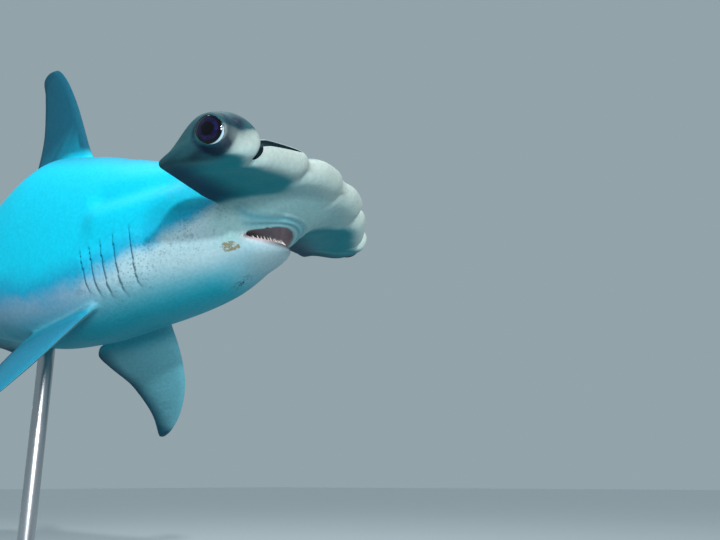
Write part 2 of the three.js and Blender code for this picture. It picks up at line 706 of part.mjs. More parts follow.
// The orbit: a short cone that carries the rim of the lids out from the tip of the hammer.
function orbit(side) {
  const { facing, rim } = eyeFrame(side);
  const across = Math.sqrt(EYE.radius ** 2 - EYE.sunk ** 2) + EYE.rim;
  const profile = [
    [0, EYE.rim * 0.5],
    [across - EYE.rim, EYE.rim],
    [across, 0],
    [EYE.orbit.spread, -EYE.orbit.depth],
    [0, -EYE.orbit.depth],
  ];
  const cone = new THREE.LatheGeometry(profile.map((row) => new THREE.Vector2(...row).multiplyScalar(UNIT)), 20);
  cone.rotateX(Math.PI / 2);
  cone.applyQuaternion(new THREE.Quaternion().setFromUnitVectors(new THREE.Vector3(0, 0, 1), facing));
  cone.translate(rim.x, rim.y, rim.z);
  return solid(cone);
}

const nostril = (side) =>
  solid(ballAt([NOSTRIL.s, side * NOSTRIL.y, NOSTRIL.z], [NOSTRIL.depth, NOSTRIL.width, NOSTRIL.length / 2], [10, 8]));

// The stand: a flat base with rounded corners, and two rods that end at the belly.
function baseGeometry() {
  const half = new THREE.Vector2(STAND.length / 2, STAND.width / 2);
  const shape = new THREE.Shape();
  for (const [sx, sy, start] of [[1, 1, 0], [-1, 1, 1], [-1, -1, 2], [1, -1, 3]]) {
    const centre = [sx * (half.x - STAND.corner), sy * (half.y - STAND.corner)];
    shape.absarc(...centre, STAND.corner, (start * Math.PI) / 2, ((start + 1) * Math.PI) / 2);
  }
  return new THREE.ExtrudeGeometry(shape, { depth: STAND.thickness, bevelEnabled: false, curveSegments: 6 });
}

function roundPost(s, radius, from, to) {
  const centre = bodyPoint(s, 0, bellyAt(s));
  const post = new THREE.CylinderGeometry(radius, radius, to - from, 24);
  post.rotateX(Math.PI / 2);
  post.translate(centre.x, centre.y, (from + to) / 2);
  return solid(post);
}

const flangeTop = STAND.thickness + JOINT_GAP + STAND.footHeight;
const flangeSolid = (s) => roundPost(s, STAND.footRadius, STAND.thickness + JOINT_GAP, flangeTop);
const rodSolid = (s) =>
  roundPost(s, STAND.rodRadius, flangeTop + JOINT_GAP, bodyPoint(s, 0, bellyAt(s) + 2).z).subtract(clearance);

// Finishes, with colours as they show on the wet skin.
const finish = (color, roughness, metalness = 0) => new THREE.MeshStandardMaterial({ color, roughness, metalness });
const FINISHES = {
  skin: finish(0x4f8f9d, 0.45),
  hammerSkin: finish(0x8fa8a6, 0.42),
  jawSkin: finish(0xaac6c9, 0.42),
  fin: finish(0x3d7f92, 0.48),
  eye: finish(0x0c0b24, 0.08),
  base: finish(0x2c2e31, 0.5),
  rod: finish(0xb9bcc0, 0.3, 1),
};

const shark = new THREE.Group();
function addNode(name, geometry, material) {
  const mesh = new THREE.Mesh(geometry, material);
  mesh.name = name;
  shark.add(mesh);
}

const { head, jaw } = headSolids();
addNode('head', geometryOf(head), FINISHES.hammerSkin);
addNode('lower_jaw', geometryOf(jaw), FINISHES.jawSkin);
addNode('neck', loft(bodyRings(STRETCHES.neck, 0, gillRelief)), FINISHES.skin);
for (const name of ['torso_front', 'torso_rear', 'tail']) {
  addNode(name, loft(bodyRings(STRETCHES[name])), FINISHES.skin);
}
for (const [name, fin] of Object.entries(FINS)) addNode(name, geometryOf(medianFin(fin)), FINISHES.fin);
for (const [name, fin] of Object.entries(PAIRED)) {
  for (const [word, side] of [['left', 1], ['right', -1]]) {
    addNode(`${name}_${word}`, geometryOf(pairedFin(fin, side)), FINISHES.fin);
  }
}
for (const [name, lobe] of Object.entries(caudalLobes())) addNode(name, geometryOf(lobe), FINISHES.fin);
for (const [word, side] of [['left', 1], ['right', -1]]) {
  addNode(`eye_${word}`, geometryOf(eyeBall(side)), FINISHES.eye);
}
addNode('stand_base', geometryOf(solid(baseGeometry())), FINISHES.base);
for (const [word, s] of Object.entries(STAND.rods)) {
  addNode(`stand_flange_${word}`, geometryOf(flangeSolid(s)), FINISHES.rod);
  addNode(`stand_rod_${word}`, geometryOf(rodSolid(s)), FINISHES.rod);
}

export default shark;
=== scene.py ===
"""A life-size museum model of a scalloped hammerhead shark on a display stand.

The animal is shaped straight: x runs forwards along its spine, y to its left and z up. It is bent
on its spine at the end. A place on it is given as s, the distance back from the snout, then y and
z, all in hundredths of its total length.
"""

import logging
import math
from dataclasses import dataclass
from enum import Enum
from functools import cached_property
from typing import Callable, Sequence

import bpy
import numpy as np
from mathutils import Matrix, Vector


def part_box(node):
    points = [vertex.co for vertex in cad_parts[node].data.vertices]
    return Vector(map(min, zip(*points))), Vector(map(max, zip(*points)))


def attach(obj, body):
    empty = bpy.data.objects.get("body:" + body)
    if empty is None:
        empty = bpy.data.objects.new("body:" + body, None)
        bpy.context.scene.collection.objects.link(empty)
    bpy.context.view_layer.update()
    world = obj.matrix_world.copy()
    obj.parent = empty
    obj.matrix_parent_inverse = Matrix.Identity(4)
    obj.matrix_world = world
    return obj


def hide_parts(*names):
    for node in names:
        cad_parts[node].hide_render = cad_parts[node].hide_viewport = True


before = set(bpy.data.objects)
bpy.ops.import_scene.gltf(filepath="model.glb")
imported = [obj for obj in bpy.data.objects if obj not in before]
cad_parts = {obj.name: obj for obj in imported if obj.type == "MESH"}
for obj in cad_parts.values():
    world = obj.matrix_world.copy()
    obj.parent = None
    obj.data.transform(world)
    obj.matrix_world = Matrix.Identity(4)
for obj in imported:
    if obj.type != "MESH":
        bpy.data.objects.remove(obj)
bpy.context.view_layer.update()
LOG = logging.getLogger("hammerhead")

TOTAL_LENGTH = 2.6
UNIT = TOTAL_LENGTH / 100
AXES = np.array([-UNIT, UNIT, UNIT])
Array = np.ndarray
Piece = bpy.types.Object
Material = bpy.types.Material
Socket = bpy.types.NodeSocket
Curve = Callable[[Array], Array]
Settings = dict[str, object]


class Side(Enum):
    """The animal's two sides, with the sign of y on each."""

    LEFT = 1
    RIGHT = -1


def ease(value: Array, start: float, end: float) -> Array:
    """Rises smoothly from 0 at start to 1 at end."""
    share = np.clip((value - start) / (end - start), 0, 1)
    return share * share * (3 - 2 * share)


def mix(first: Array, second: Array, share: Array) -> Array:
    """The value that lies a share of the way from first to second."""
    return first + (second - first) * share


def dip(value: Array, at: float, width: float) -> Array:
    """A bell of height 1 at a place, which falls off over width."""
    return np.exp(-(((value - at) / width) ** 2))


def power(value: Array, exponent: float) -> Array:
    """A power that keeps the value's sign."""
    return np.sign(value) * np.abs(value) ** exponent


def round_angles(count: int) -> Array:
    """Even angles round a section, as one row."""
    return np.linspace(0, 2 * np.pi, count, endpoint=False)[None, :]


def curve_through(rows: Sequence[tuple[float, float]]) -> Curve:
    """A smooth curve through rows of place and value that never overshoots between them.

    Args:
        rows: Pairs of place and value, in order of place.

    Returns:
        A function from an array of places to an array of values.
    """
    places = np.array([row[0] for row in rows], float)
    values = np.array([row[1] for row in rows], float)
    slopes = np.diff(values) / np.diff(places)
    product = slopes[:-1] * slopes[1:]
    total = np.where(product > 0, slopes[:-1] + slopes[1:], 1)
    inner = np.where(product > 0, 2 * product / total, 0)
    tangents = np.concatenate([slopes[:1], inner, slopes[-1:]])

    def curve(x: Array) -> Array:
        """The curve's value at each x."""
        at = np.clip(np.searchsorted(places, x) - 1, 0, len(places) - 2)
        span = places[at + 1] - places[at]
        t = np.clip((x - places[at]) / span, 0, 1)
        rise = values[at + 1] - values[at]
        start = tangents[at] * span
        end = tangents[at + 1] * span
        bow = start * t + (3 * rise - 2 * start - end) * t**2
        return values[at] + bow + (start + end - 2 * rise) * t**3

    return curve


def straight_from_body(body: Array) -> Array:
    """Straight-space metres from rows of s, y and z in hundredths of the length."""
    return body * AXES


def body_from_straight(points: Array) -> Array:
    """Rows of s, y and z in hundredths of the length from straight-space metres."""
    return points / AXES


def deselect_all() -> None:
    """Leaves object mode with nothing selected."""
    if bpy.context.object and bpy.context.object.mode != "OBJECT":
        bpy.ops.object.mode_set(mode="OBJECT")
    bpy.ops.object.select_all(action="DESELECT")


def make_active(piece: Piece) -> None:
    """Selects one piece alone and makes it active."""
    deselect_all()
    piece.select_set(True)
    bpy.context.view_layer.objects.active = piece


def placed_primitive(name: str) -> Piece:
    """Names the primitive just added and puts its place and scale into its mesh."""
    piece = bpy.context.object
    piece.name = name
    bpy.ops.object.transform_apply(location=True, rotation=True, scale=True)
    return piece


def clear_selection(kind: str) -> None:
    """Leaves nothing of the active piece selected, so that code can select what it needs."""
    bpy.ops.object.mode_set(mode="EDIT")
    bpy.ops.mesh.select_mode(type=kind)
    bpy.ops.mesh.select_all(action="DESELECT")
    bpy.ops.object.mode_set(mode="OBJECT")


def coat(piece: Piece, material: Material) -> None:
    """Gives a piece one material in place of any that it had."""
    piece.data.materials.clear()
    piece.data.materials.append(material)


def points_of(piece: Piece) -> Array:
    """The piece's vertices as rows of x, y and z."""
    flat = np.empty(len(piece.data.vertices) * 3, np.float32)
    piece.data.vertices.foreach_get("co", flat)
    return flat.reshape(-1, 3).astype(float)


def normals_of(piece: Piece) -> Array:
    """The piece's vertex normals as rows of x, y and z."""
    flat = np.empty(len(piece.data.vertices) * 3, np.float32)
    piece.data.vertex_normals.foreach_get("vector", flat)
    return flat.reshape(-1, 3).astype(float)


def set_points(piece: Piece, points: Array) -> None:
    """Moves the piece's vertices to rows of x, y and z."""
    piece.data.vertices.foreach_set("co", points.astype(np.float32).ravel())
    piece.data.update()


def set_attribute(piece: Piece, name: str, values: Array) -> None:
    """Stores one number per vertex under a name that a finish reads."""
    attribute = piece.data.attributes.new(name, "FLOAT", "POINT")
    attribute.data.foreach_set("value", values.astype(np.float32))


def apply_modifier(piece: Piece, kind: str, **settings: object) -> None:
    """Adds a modifier with its settings and applies it."""
    make_active(piece)
    modifier = piece.modifiers.new(kind.lower(), kind)
    for name, value in settings.items():
        setattr(modifier, name, value)
    bpy.ops.object.modifier_apply(modifier=modifier.name)


def trim_edges(piece: Piece, width: float) -> None:
    """Bevels the sharp edges of a piece and shades it smooth between them."""
    apply_modifier(piece, "BEVEL", width=width, segments=3, limit_method="ANGLE", angle_limit=1.0)
    bpy.ops.object.shade_smooth_by_angle(angle=math.radians(35))


def join(pieces: Sequence[Piece], name: str) -> Piece:
    """Joins closed pieces into the first of them, under a new name."""
    make_active(pieces[0])
    for piece in pieces:
        piece.select_set(True)
    bpy.ops.object.join()
    pieces[0].name = name
    return pieces[0]


def cut(piece: Piece, cutter: Piece) -> None:
    """Takes a closed cutter away from a piece, and removes the cutter."""
    kind = {"operation": "DIFFERENCE", "solver": "MANIFOLD", "material_mode": "TRANSFER"}
    apply_modifier(piece, "BOOLEAN", object=cutter, **kind)
    bpy.data.objects.remove(cutter)


def soften(piece: Piece, weights: Array, passes: int) -> None:
    """Smooths a piece where its weights say.

    Args:
        piece: The piece, in object mode.
        weights: One weight from 0 to 1 for each vertex.
        passes: How many times the vertices move towards their neighbours.
    """
    levels = 20
    group = piece.vertex_groups.new(name="soften")
    steps = np.rint(np.clip(weights, 0, 1) * levels).astype(int)
    for step in range(1, levels + 1):
        group.add(np.flatnonzero(steps == step).tolist(), step / levels, "REPLACE")
    apply_modifier(piece, "SMOOTH", factor=0.5, iterations=passes, vertex_group="soften")
    piece.vertex_groups.clear()


def loft(name: str, rings: Array) -> Piece:
    """A closed surface through rings of points, laid from a grid primitive.

    Args:
        name: The piece's name.
        rings: Points in metres, as rings by points by 3.

    Returns:
        The closed mesh, with its faces outwards.
    """
    along, around = rings.shape[:2]
    deselect_all()
    bpy.ops.mesh.primitive_grid_add(x_subdivisions=around, y_subdivisions=along - 1, size=2)
    sheet = bpy.context.object
    sheet.name = name
    flat = points_of(sheet)
    column = np.rint((flat[:, 0] + 1) / 2 * around).astype(int) % around
    row = np.rint((flat[:, 1] + 1) / 2 * (along - 1)).astype(int)
    set_points(sheet, rings[row, column])
    bpy.ops.object.mode_set(mode="EDIT")
    bpy.ops.mesh.select_all(action="SELECT")
    bpy.ops.mesh.remove_doubles(threshold=1e-6)
    bpy.ops.mesh.fill_holes(sides=0)
    bpy.ops.mesh.select_all(action="SELECT")
    bpy.ops.mesh.normals_make_consistent(inside=False)
    bpy.ops.object.mode_set(mode="OBJECT")
    return sheet


@dataclass(frozen=True)
class Bend:
    """One bend of the spine, in degrees, and the stretch of s over which it comes on."""

    angle: float
    start: float
    end: float

    def at(self, s: Array) -> Array:
        """The bend's angle at s, in radians."""
        return math.radians(self.angle) * ease(s, self.start, self.end)


@dataclass(frozen=True)
class Spine:
    """The pose: how the straight animal lies in the model's frame."""

    snout_height: float = 0.93
    head_lift: float = 18.7
    trunk_heading: float = 20.55
    middle: float = 40
    step: float = 0.25
    reach: float = 104
    nape: Bend = Bend(28, 11, 30)
    loin: Bend = Bend(-14, 28, 60)
    neck_turn: Bend = Bend(23, 11, 40)
    tail_turn: Bend = Bend(-15, 48, 80)
    untwist: Bend = Bend(-7, 40, 78)

    def axes(self, s: Array) -> tuple[Array, Array, Array]:
        """The directions back, left and up at each s, in the head's frame."""
        pitch = self.nape.at(s) + self.loin.at(s)
        turn = self.neck_turn.at(s) + self.tail_turn.at(s)
        twist = -self.untwist.at(s)[:, None]
        back = np.stack([-np.cos(pitch) * np.cos(turn), np.cos(pitch) * np.sin(turn), np.sin(pitch)], 1)
        level = np.stack([np.sin(turn), np.cos(turn), np.zeros_like(turn)], 1)
        left = level * np.cos(twist) + np.cross(back, level) * np.sin(twist)
        return back, left, np.cross(left, back)

    @cached_property
    def turned(self) -> Array:
        """The turn from the head's frame to the model's."""
        heading = Matrix.Rotation(math.radians(self.trunk_heading), 3, "Z")
        return np.array(heading @ Matrix.Rotation(-math.radians(self.head_lift), 3, "Y"))

    @cached_property
    def line(self) -> tuple[Array, Array]:
        """Places along the spine and their points, walked back from the snout."""
        places = np.arange(0, self.reach, self.step)
        steps = self.axes(places + self.step / 2)[0] * self.step
        points = np.vstack([np.zeros(3), np.cumsum(steps, 0)])
        return np.append(places, self.reach), points

    @cached_property
    def shift(self) -> Array:
        """The move that sets the stand's middle at the origin, in metres."""
        places, points = self.line
        middle = points[np.searchsorted(places, self.middle)] @ self.turned.T * UNIT
        return np.array([-middle[0], -middle[1], self.snout_height])

    def place(self, straight: Array) -> Array:
        """Points of the model's frame from points of the straight space, both in metres."""
        body = body_from_straight(straight)
        places, points = self.line
        along = np.stack([np.interp(body[:, 0], places, points[:, k]) for k in range(3)], 1)
        _, left, up = self.axes(body[:, 0])
        head = along + left * body[:, 1:2] + up * body[:, 2:3]
        return head @ self.turned.T * UNIT + self.shift

    def from_head(self, point: Sequence[float]) -> Vector:
        """The model-frame point of a point in the head's frame, in hundredths of the length."""
        return Vector(self.turned @ np.array(point) * UNIT + self.shift)


SPINE = Spine()


def bend_to_pose(piece: Piece) -> None:
    """Bends a straight piece on the spine and shades it smooth."""
    set_points(piece, SPINE.place(points_of(piece)))
    make_active(piece)
    bpy.ops.object.shade_smooth()


@dataclass(frozen=True)
class Trunk:
    """The body from snout to tail: half width, back and belly height at stations along it."""

    stations: tuple[tuple[float, float, float, float], ...] = (
        (1.3, 1.2, 0.1, -1.2), (2.4, 2.9, 1.0, -1.6), (4.2, 3.7, 2.0, -1.95), (6.4, 4.0, 3.05, -2.3),
        (8.6, 4.25, 4.2, -3.1), (11, 4.75, 5.7, -4.5), (14, 5.35, 7.4, -5.25), (20, 6.05, 9.4, -5.7),
        (26, 6.3, 10.35, -6.9), (31, 6.35, 10.5, -7.6), (39, 5.95, 6.7, -7.2), (48, 4.9, 5.5, -6.0),
        (57, 3.6, 4.6, -4.5), (65, 2.4, 3.4, -2.9), (71, 1.6, 2.45, -1.85), (76, 0.95, 3.6, -0.4),
        (80, 0.62, 6.6, 3.3), (84, 0.42, 9.7, 7.7), (88, 0.26, 12.5, 11.3), (91, 0.14, 14.8, 14.2),
    )
    section_power: float = 2.15
    waist: float = 0.35
    around: int = 120
    ring_gap: float = 0.35

    @cached_property
    def width(self) -> Curve:
        """Half width along the body."""
        return curve_through([(row[0], row[1]) for row in self.stations])

    @cached_property
    def back(self) -> Curve:
        """Height of the back along the body."""
        return curve_through([(row[0], row[2]) for row in self.stations])

    @cached_property
    def belly(self) -> Curve:
        """Height of the belly along the body."""
        return curve_through([(row[0], row[3]) for row in self.stations])

    def middle(self, s: Array) -> Array:
        """The height where the body is widest."""
        return mix(self.belly(s), self.back(s), self.waist)

    def depth(self, s: Array) -> Array:
        """The body's height from belly to back."""
        return self.back(s) - self.belly(s)

    def reach(self, s: Array, over: Array) -> Array:
        """The height of a section's upper half where over is true, or else of its lower half."""
        middle = self.middle(s)
        return np.where(over, self.back(s) - middle, middle - self.belly(s))

    def section(self, s: Array, angle: Array) -> Array:
        """Rows of s, y and z on the body's surface at an angle round its section."""
        across = power(np.cos(angle), 2 / self.section_power)
        height = power(np.sin(angle), 2 / self.section_power)
        rise = self.middle(s) + self.reach(s, height > 0) * height
        return np.stack([s + 0 * angle, self.width(s) * across, rise], -1)

    def outside(self, body: Array) -> Array:
        """How far each place lies outside the body's surface, about, in hundredths."""
        s, y, z = body.T
        middle = self.middle(s)
        across = np.abs(y) / self.width(s)
        height = np.abs(z - middle) / self.reach(s, z > middle)
        share = (across**self.section_power + height**self.section_power) ** (1 / self.section_power)
        radius = np.hypot(y, z - middle)
        return radius - radius / np.maximum(share, 1e-6)

    def build(self) -> Piece:
        """The plain trunk as a straight loft."""
        first, last = self.stations[0][0], self.stations[-1][0]
        s = np.linspace(first, last, int((last - first) / self.ring_gap))
        rings = self.section(s[:, None], round_angles(self.around))
        return loft("trunk", straight_from_body(rings))


TRUNK = Trunk()


@dataclass(frozen=True)
class Notch:
    """A dent in the hammer's front margin, on both sides."""

    at: float
    width: float
    depth: float


@dataclass(frozen=True)
class Hammer:
    """The head's wide wing: a scalloped front margin, a straight rear one and thick tips."""

    half_span: float = 13.75
    front_middle: float = 0.75
    front_sweep: float = 3.0
    sweep_span: float = 11
    sweep_end: float = 12.6
    tip_round: float = 0.75
    tip_round_start: float = 11.8
    tip_start: float = 12.1
    rear: float = 10.5
    rear_corner: float = 12.7
    corner_bow: tuple[float, float] = (2.2, 0.7)
    outer_edge: float = 6.4
    top_thickness: float = 1.35
    bottom_thickness: float = 1.2
    lobe_height: float = 1.15
    lobe_start: float = 10.5
    lobe_end: float = 12.1
    lobe_forward: float = 0.75
    lobe_at: float = 11.8
    lobe_width: float = 0.85
    left_lift: float = 0.8
    front_droop: float = -0.65
    tip_lift: float = 0.1
    thickest: float = 0.3
    rear_edge: float = 0.14
    pad_depth: float = 0.28
    pad_at: float = 0.13
    pad_width: float = 0.12
    lift_start: float = 5
    droop_end: float = 0.6
    least_chord: float = 0.15
    tip_gap: float = 0.015
    notch_clearance: float = 1.3
    front_crowding: float = 1.7
    notches: tuple[Notch, ...] = (Notch(0, 0.95, 0.7), Notch(5.4, 0.8, 0.6), Notch(10.6, 0.4, 0.4))
    spans: int = 230
    chord_points: int = 30

    def front(self, y: Array) -> Array:
        """The front margin's s at y: a swept arc with notches, a lobe and a round tip."""
        out = np.abs(y)
        sweep = self.front_sweep * (np.minimum(out, self.sweep_end) / self.sweep_span) ** 2
        notch = sum(n.depth * dip(out, n.at, n.width) for n in self.notches)
        past = np.clip((out - self.tip_round_start) / (self.half_span - self.tip_round_start), 0, 1)
        lobe = self.lobe_forward * dip(out, self.lobe_at, self.lobe_width)
        return self.front_middle + sweep + notch - lobe + self.tip_round * (1 - np.sqrt(1 - past**2))

    def rear_margin(self, y: Array) -> Array:
        """The rear margin's s at y."""
        past = np.clip((np.abs(y) - self.rear_corner) / (self.half_span - self.rear_corner), 0, 1)
        inner, outer = self.corner_bow
        return mix(self.outer_edge, self.rear, (1 - past**inner) ** outer)

    def margins(self, y: Array) -> tuple[Array, Array]:
        """The s of the front and of the rear margin at y, never closer than the least chord."""
        front = self.front(y)
        return front, np.maximum(self.rear_margin(y), front + self.least_chord)

    def profile(self, u: Array) -> Array:
        """The share of full thickness at a share of the chord."""
        nose = np.sqrt(np.clip(1 - (1 - u / self.thickest) ** 2, 0, 1))
        fall = 0.5 + 0.5 * np.cos(np.pi * (u - self.thickest) / (1 - self.thickest))
        return np.where(u < self.thickest, nose, mix(self.rear_edge, 1, fall))

    def middle(self, u: Array, y: Array) -> Array:
        """The height of the wing's middle surface."""
        droop = mix(self.front_droop, self.tip_lift, ease(np.abs(y), self.lobe_start, self.half_span))
        lift = self.left_lift * ease(y, self.lift_start, self.rear_corner) * ease(u, self.thickest, 1)
        return mix(droop, 0, ease(u, 0, self.droop_end)) + lift

    def chord_share(self, body: Array) -> Array:
        """Where each place lies between the front margin, 0, and the rear one, 1."""
        front, rear = self.margins(body[:, 1])
        return (body[:, 0] - front) / (rear - front)

    def outside(self, body: Array) -> Array:
        """How far each place lies off the wing's surface, about, in hundredths."""
        u = self.chord_share(body)
        inside = np.clip(u, 0, 1)
        thick = np.where(body[:, 2] > 0, self.top_thickness, self.bottom_thickness)
        off = np.abs(body[:, 2] - self.middle(inside, body[:, 1])) - thick * self.profile(inside)
        behind = np.maximum(0, body[:, 0] - self.rear)
        beyond = np.maximum(0, np.abs(body[:, 1]) - self.half_span)
        return np.hypot(np.hypot(off, behind), beyond)

    def build(self) -> Piece:
        """The wing as a straight loft from its right tip to its left."""
        share = np.linspace(-1, 1, self.spans)
        y = (self.half_span - self.tip_gap) * np.sin(share * np.pi / 2)[:, None]
        u = np.linspace(0, 1, self.chord_points)[None, :] ** self.front_crowding
        front, rear = self.margins(y)
        past = np.clip((np.abs(y) - self.tip_start) / (self.half_span - self.tip_start), 0, 1)
        tip = np.sqrt(np.maximum(0.0004, 1 - past**2))
        lobe = self.lobe_height * ease(np.abs(y), self.lobe_start, self.lobe_end)
        clear = 1 - sum(dip(np.abs(y), n.at, n.width * self.notch_clearance) for n in self.notches)
        pad = self.pad_depth * clear * dip(u, self.pad_at, self.pad_width) * tip
        s = mix(front, rear, u)
        middle = self.middle(u, y)
        top = middle + (self.top_thickness + lobe) * self.profile(u) * tip
        bottom = middle - self.bottom_thickness * self.profile(u) * tip - pad
        upper = np.stack([s, y + 0 * u, top], -1)
        lower = np.stack([s, y + 0 * u, bottom], -1)[:, :0:-1]
        return loft("hammer", straight_from_body(np.concatenate([upper, lower], 1)))


HAMMER = Hammer()


@dataclass(frozen=True)
class Mouth:
    """The lower jaw, the mouth's hollow and the lips."""

    corner_s: float = 9.9
    corner_y: float = 3.3
    corner_z: float = -2.45
    lip_s: float = 6.9
    lip_z: float = -2.15
    roof_rise: float = 0.75
    jaw_s: float = 7.5
    jaw_z: float = -3.45
    jaw_depth: float = 0.5
    throat_s: float = 12.4
    throat_rise: float = 0.2
    cheek_spread: float = 0.12
    basin_depth: float = 0.55
    basin_inset: float = 0.42
    lip_flare: float = 1.12
    rim_flare: float = 0.08
    least_half: float = 0.05
    around: int = 64

    def rim_height(self, s: Array) -> Array:
        """The height of the lower jaw's rim at s."""
        return mix(self.jaw_z, self.corner_z, (s - self.jaw_s) / (self.corner_s - self.jaw_s))

    def rim_half_width(self, s: Array) -> Array:
        """The lower jaw's half width at s."""
        along = np.clip((s - self.jaw_s) / (self.corner_s - self.jaw_s), 0, 1)
        return self.corner_y * np.sqrt(along) * (1 + self.rim_flare * (1 - along))

    def lip_along(self, s: Array) -> Array:
        """The share of the way from the upper lip's front to the mouth's corner."""
        return np.clip((s - self.lip_s) / (self.corner_s - self.lip_s), 0, 1)

    def lip_height(self, s: Array) -> Array:
        """The height of the upper lip at s."""
        return mix(self.lip_z, self.corner_z, self.lip_along(s))

    def lip_half_width(self, s: Array) -> Array:
        """The half width of the mouth's hollow at s."""
        return np.maximum(0.06, self.corner_y * np.sqrt(self.lip_along(s)) * self.lip_flare)

    def roof_height(self, s: Array) -> Array:
        """How far the roof of the mouth rises over the lip at s."""
        along = np.minimum(0.98, self.lip_along(s) + 0.12)
        return self.roof_rise * np.sqrt(np.sin(np.pi * along))

    def jaw(self) -> Piece:
        """The lower jaw as a straight loft, from its tip into the throat."""
        back = np.linspace(0, 1, 40)[:, None] ** 2 * (self.throat_s - self.jaw_s) + 0.004
        s = self.jaw_s + back
        cheek = self.cheek_spread * np.maximum(0, s - self.corner_s)
        half = np.maximum(self.least_half, self.rim_half_width(s)) + cheek
        rim = self.rim_height(np.minimum(s, self.corner_s + 0.3))
        share = (s - self.jaw_s) / (self.throat_s - self.jaw_s)
        throat = TRUNK.belly(np.array(self.throat_s)) + self.throat_rise
        under = mix(self.jaw_z - self.jaw_depth, throat, share)
        angle = round_angles(self.around)
        y = half * power(np.cos(angle), 0.85)
        low = rim - (rim - under) * power(np.maximum(0, -np.sin(angle)), 0.8)
        z = np.where(np.sin(angle) > 0, rim + 0.05 * np.sin(angle), low)
        return loft("jaw", straight_from_body(np.stack([s + 0 * angle, y, z], -1)))

    def hollow(self) -> Piece:
        """The space between the roof of the mouth and the jaw's rim."""
        s = self.lip_s + np.linspace(0.06, 1, 36)[:, None] ** 1.6 * 3
        lip = self.lip_height(s)
        floor = np.minimum(self.rim_height(np.maximum(s, self.jaw_s)), lip) - 0.06
        angle = round_angles(self.around)
        sin = np.sin(angle)
        y = self.lip_half_width(s) * power(np.cos(angle), np.where(sin > 0, 0.9, 0.15))
        low = mix(lip, floor, np.sqrt(np.maximum(0, -sin)))
        z = np.where(sin > 0, lip + self.roof_height(s) * sin, low)
        return loft("hollow", straight_from_body(np.stack([s + 0 * angle, y, z], -1)))

    def basin(self) -> Piece:
        """The floor of the mouth inside the jaw's rim, and the way into the throat."""
        s = self.jaw_s + np.linspace(0.32, 3.2, 30)[:, None]
        inset = self.basin_inset + 0.25 * ease(s, self.corner_s - 0.6, self.corner_s + 0.8)
        half = np.maximum(self.least_half, self.rim_half_width(s) - inset) * (1 - 0.7 * ease(s, 9.6, 10.8))
        rim = self.rim_height(np.minimum(s, self.corner_s))
        angle = round_angles(self.around)
        y = half * power(np.cos(angle), 0.8)
        rise = 0.35 + 0.1 * ease(s, 8.5, 10)
        z = rim + np.where(np.sin(angle) > 0, rise, self.basin_depth) * np.sin(angle)
        return loft("basin", straight_from_body(np.stack([s + 0 * angle, y, z], -1)))

    def lining(self, body: Array) -> Array:
        """How surely each place belongs to the inside of the mouth, from 0 to 1."""
        s, y, z = body.T
        lip = self.lip_height(s)
        rim = self.rim_height(s)
        height = (z - rim + 0.12) / np.maximum(0.05, lip - rim + 0.15)
        roof = lip + self.roof_height(s)
        below = ease(roof + 0.25 - z, 0, 0.12)
        above = ease(height, -0.6, 0.1)
        within = ease(self.lip_half_width(s) + 0.05 - np.abs(y), -0.08, 0.12)
        length = ease(s, self.lip_s - 0.02, self.lip_s + 0.18) * (1 - ease(s, 10.7, 11.2))
        return below * above * within * length

    def rim_nearness(self, body: Array) -> Array:
        """A bell round the top of the lower jaw's rim."""
        s, y, z = body.T
        across = np.abs(y) - self.rim_half_width(s) + 0.12
        high = z - self.rim_height(s)
        along = (s > self.jaw_s - 0.3) & (s < self.corner_s + 0.1)
        return np.exp(-((across / 0.5) ** 2) - (high / 0.34) ** 2) * along

    def lip_distance(self, body: Array) -> Array:
        """The distance from the upper lip's edge, seen from below, in hundredths."""
        s, y, _ = body.T
        t = np.linspace(-1, 1, 61)
        edge_s = self.lip_s + (self.corner_s - self.lip_s) * t**2
        edge_y = self.corner_y * self.lip_flare * t
        gaps = np.hypot(s[:, None] - edge_s, y[:, None] - edge_y)
        return gaps.min(1)


MOUTH = Mouth()


@dataclass(frozen=True)
class Gill:
    """One slit: s at its top and bottom ends, and the heights of those ends."""

    top: float
    bottom: float
    high: float
    low: float


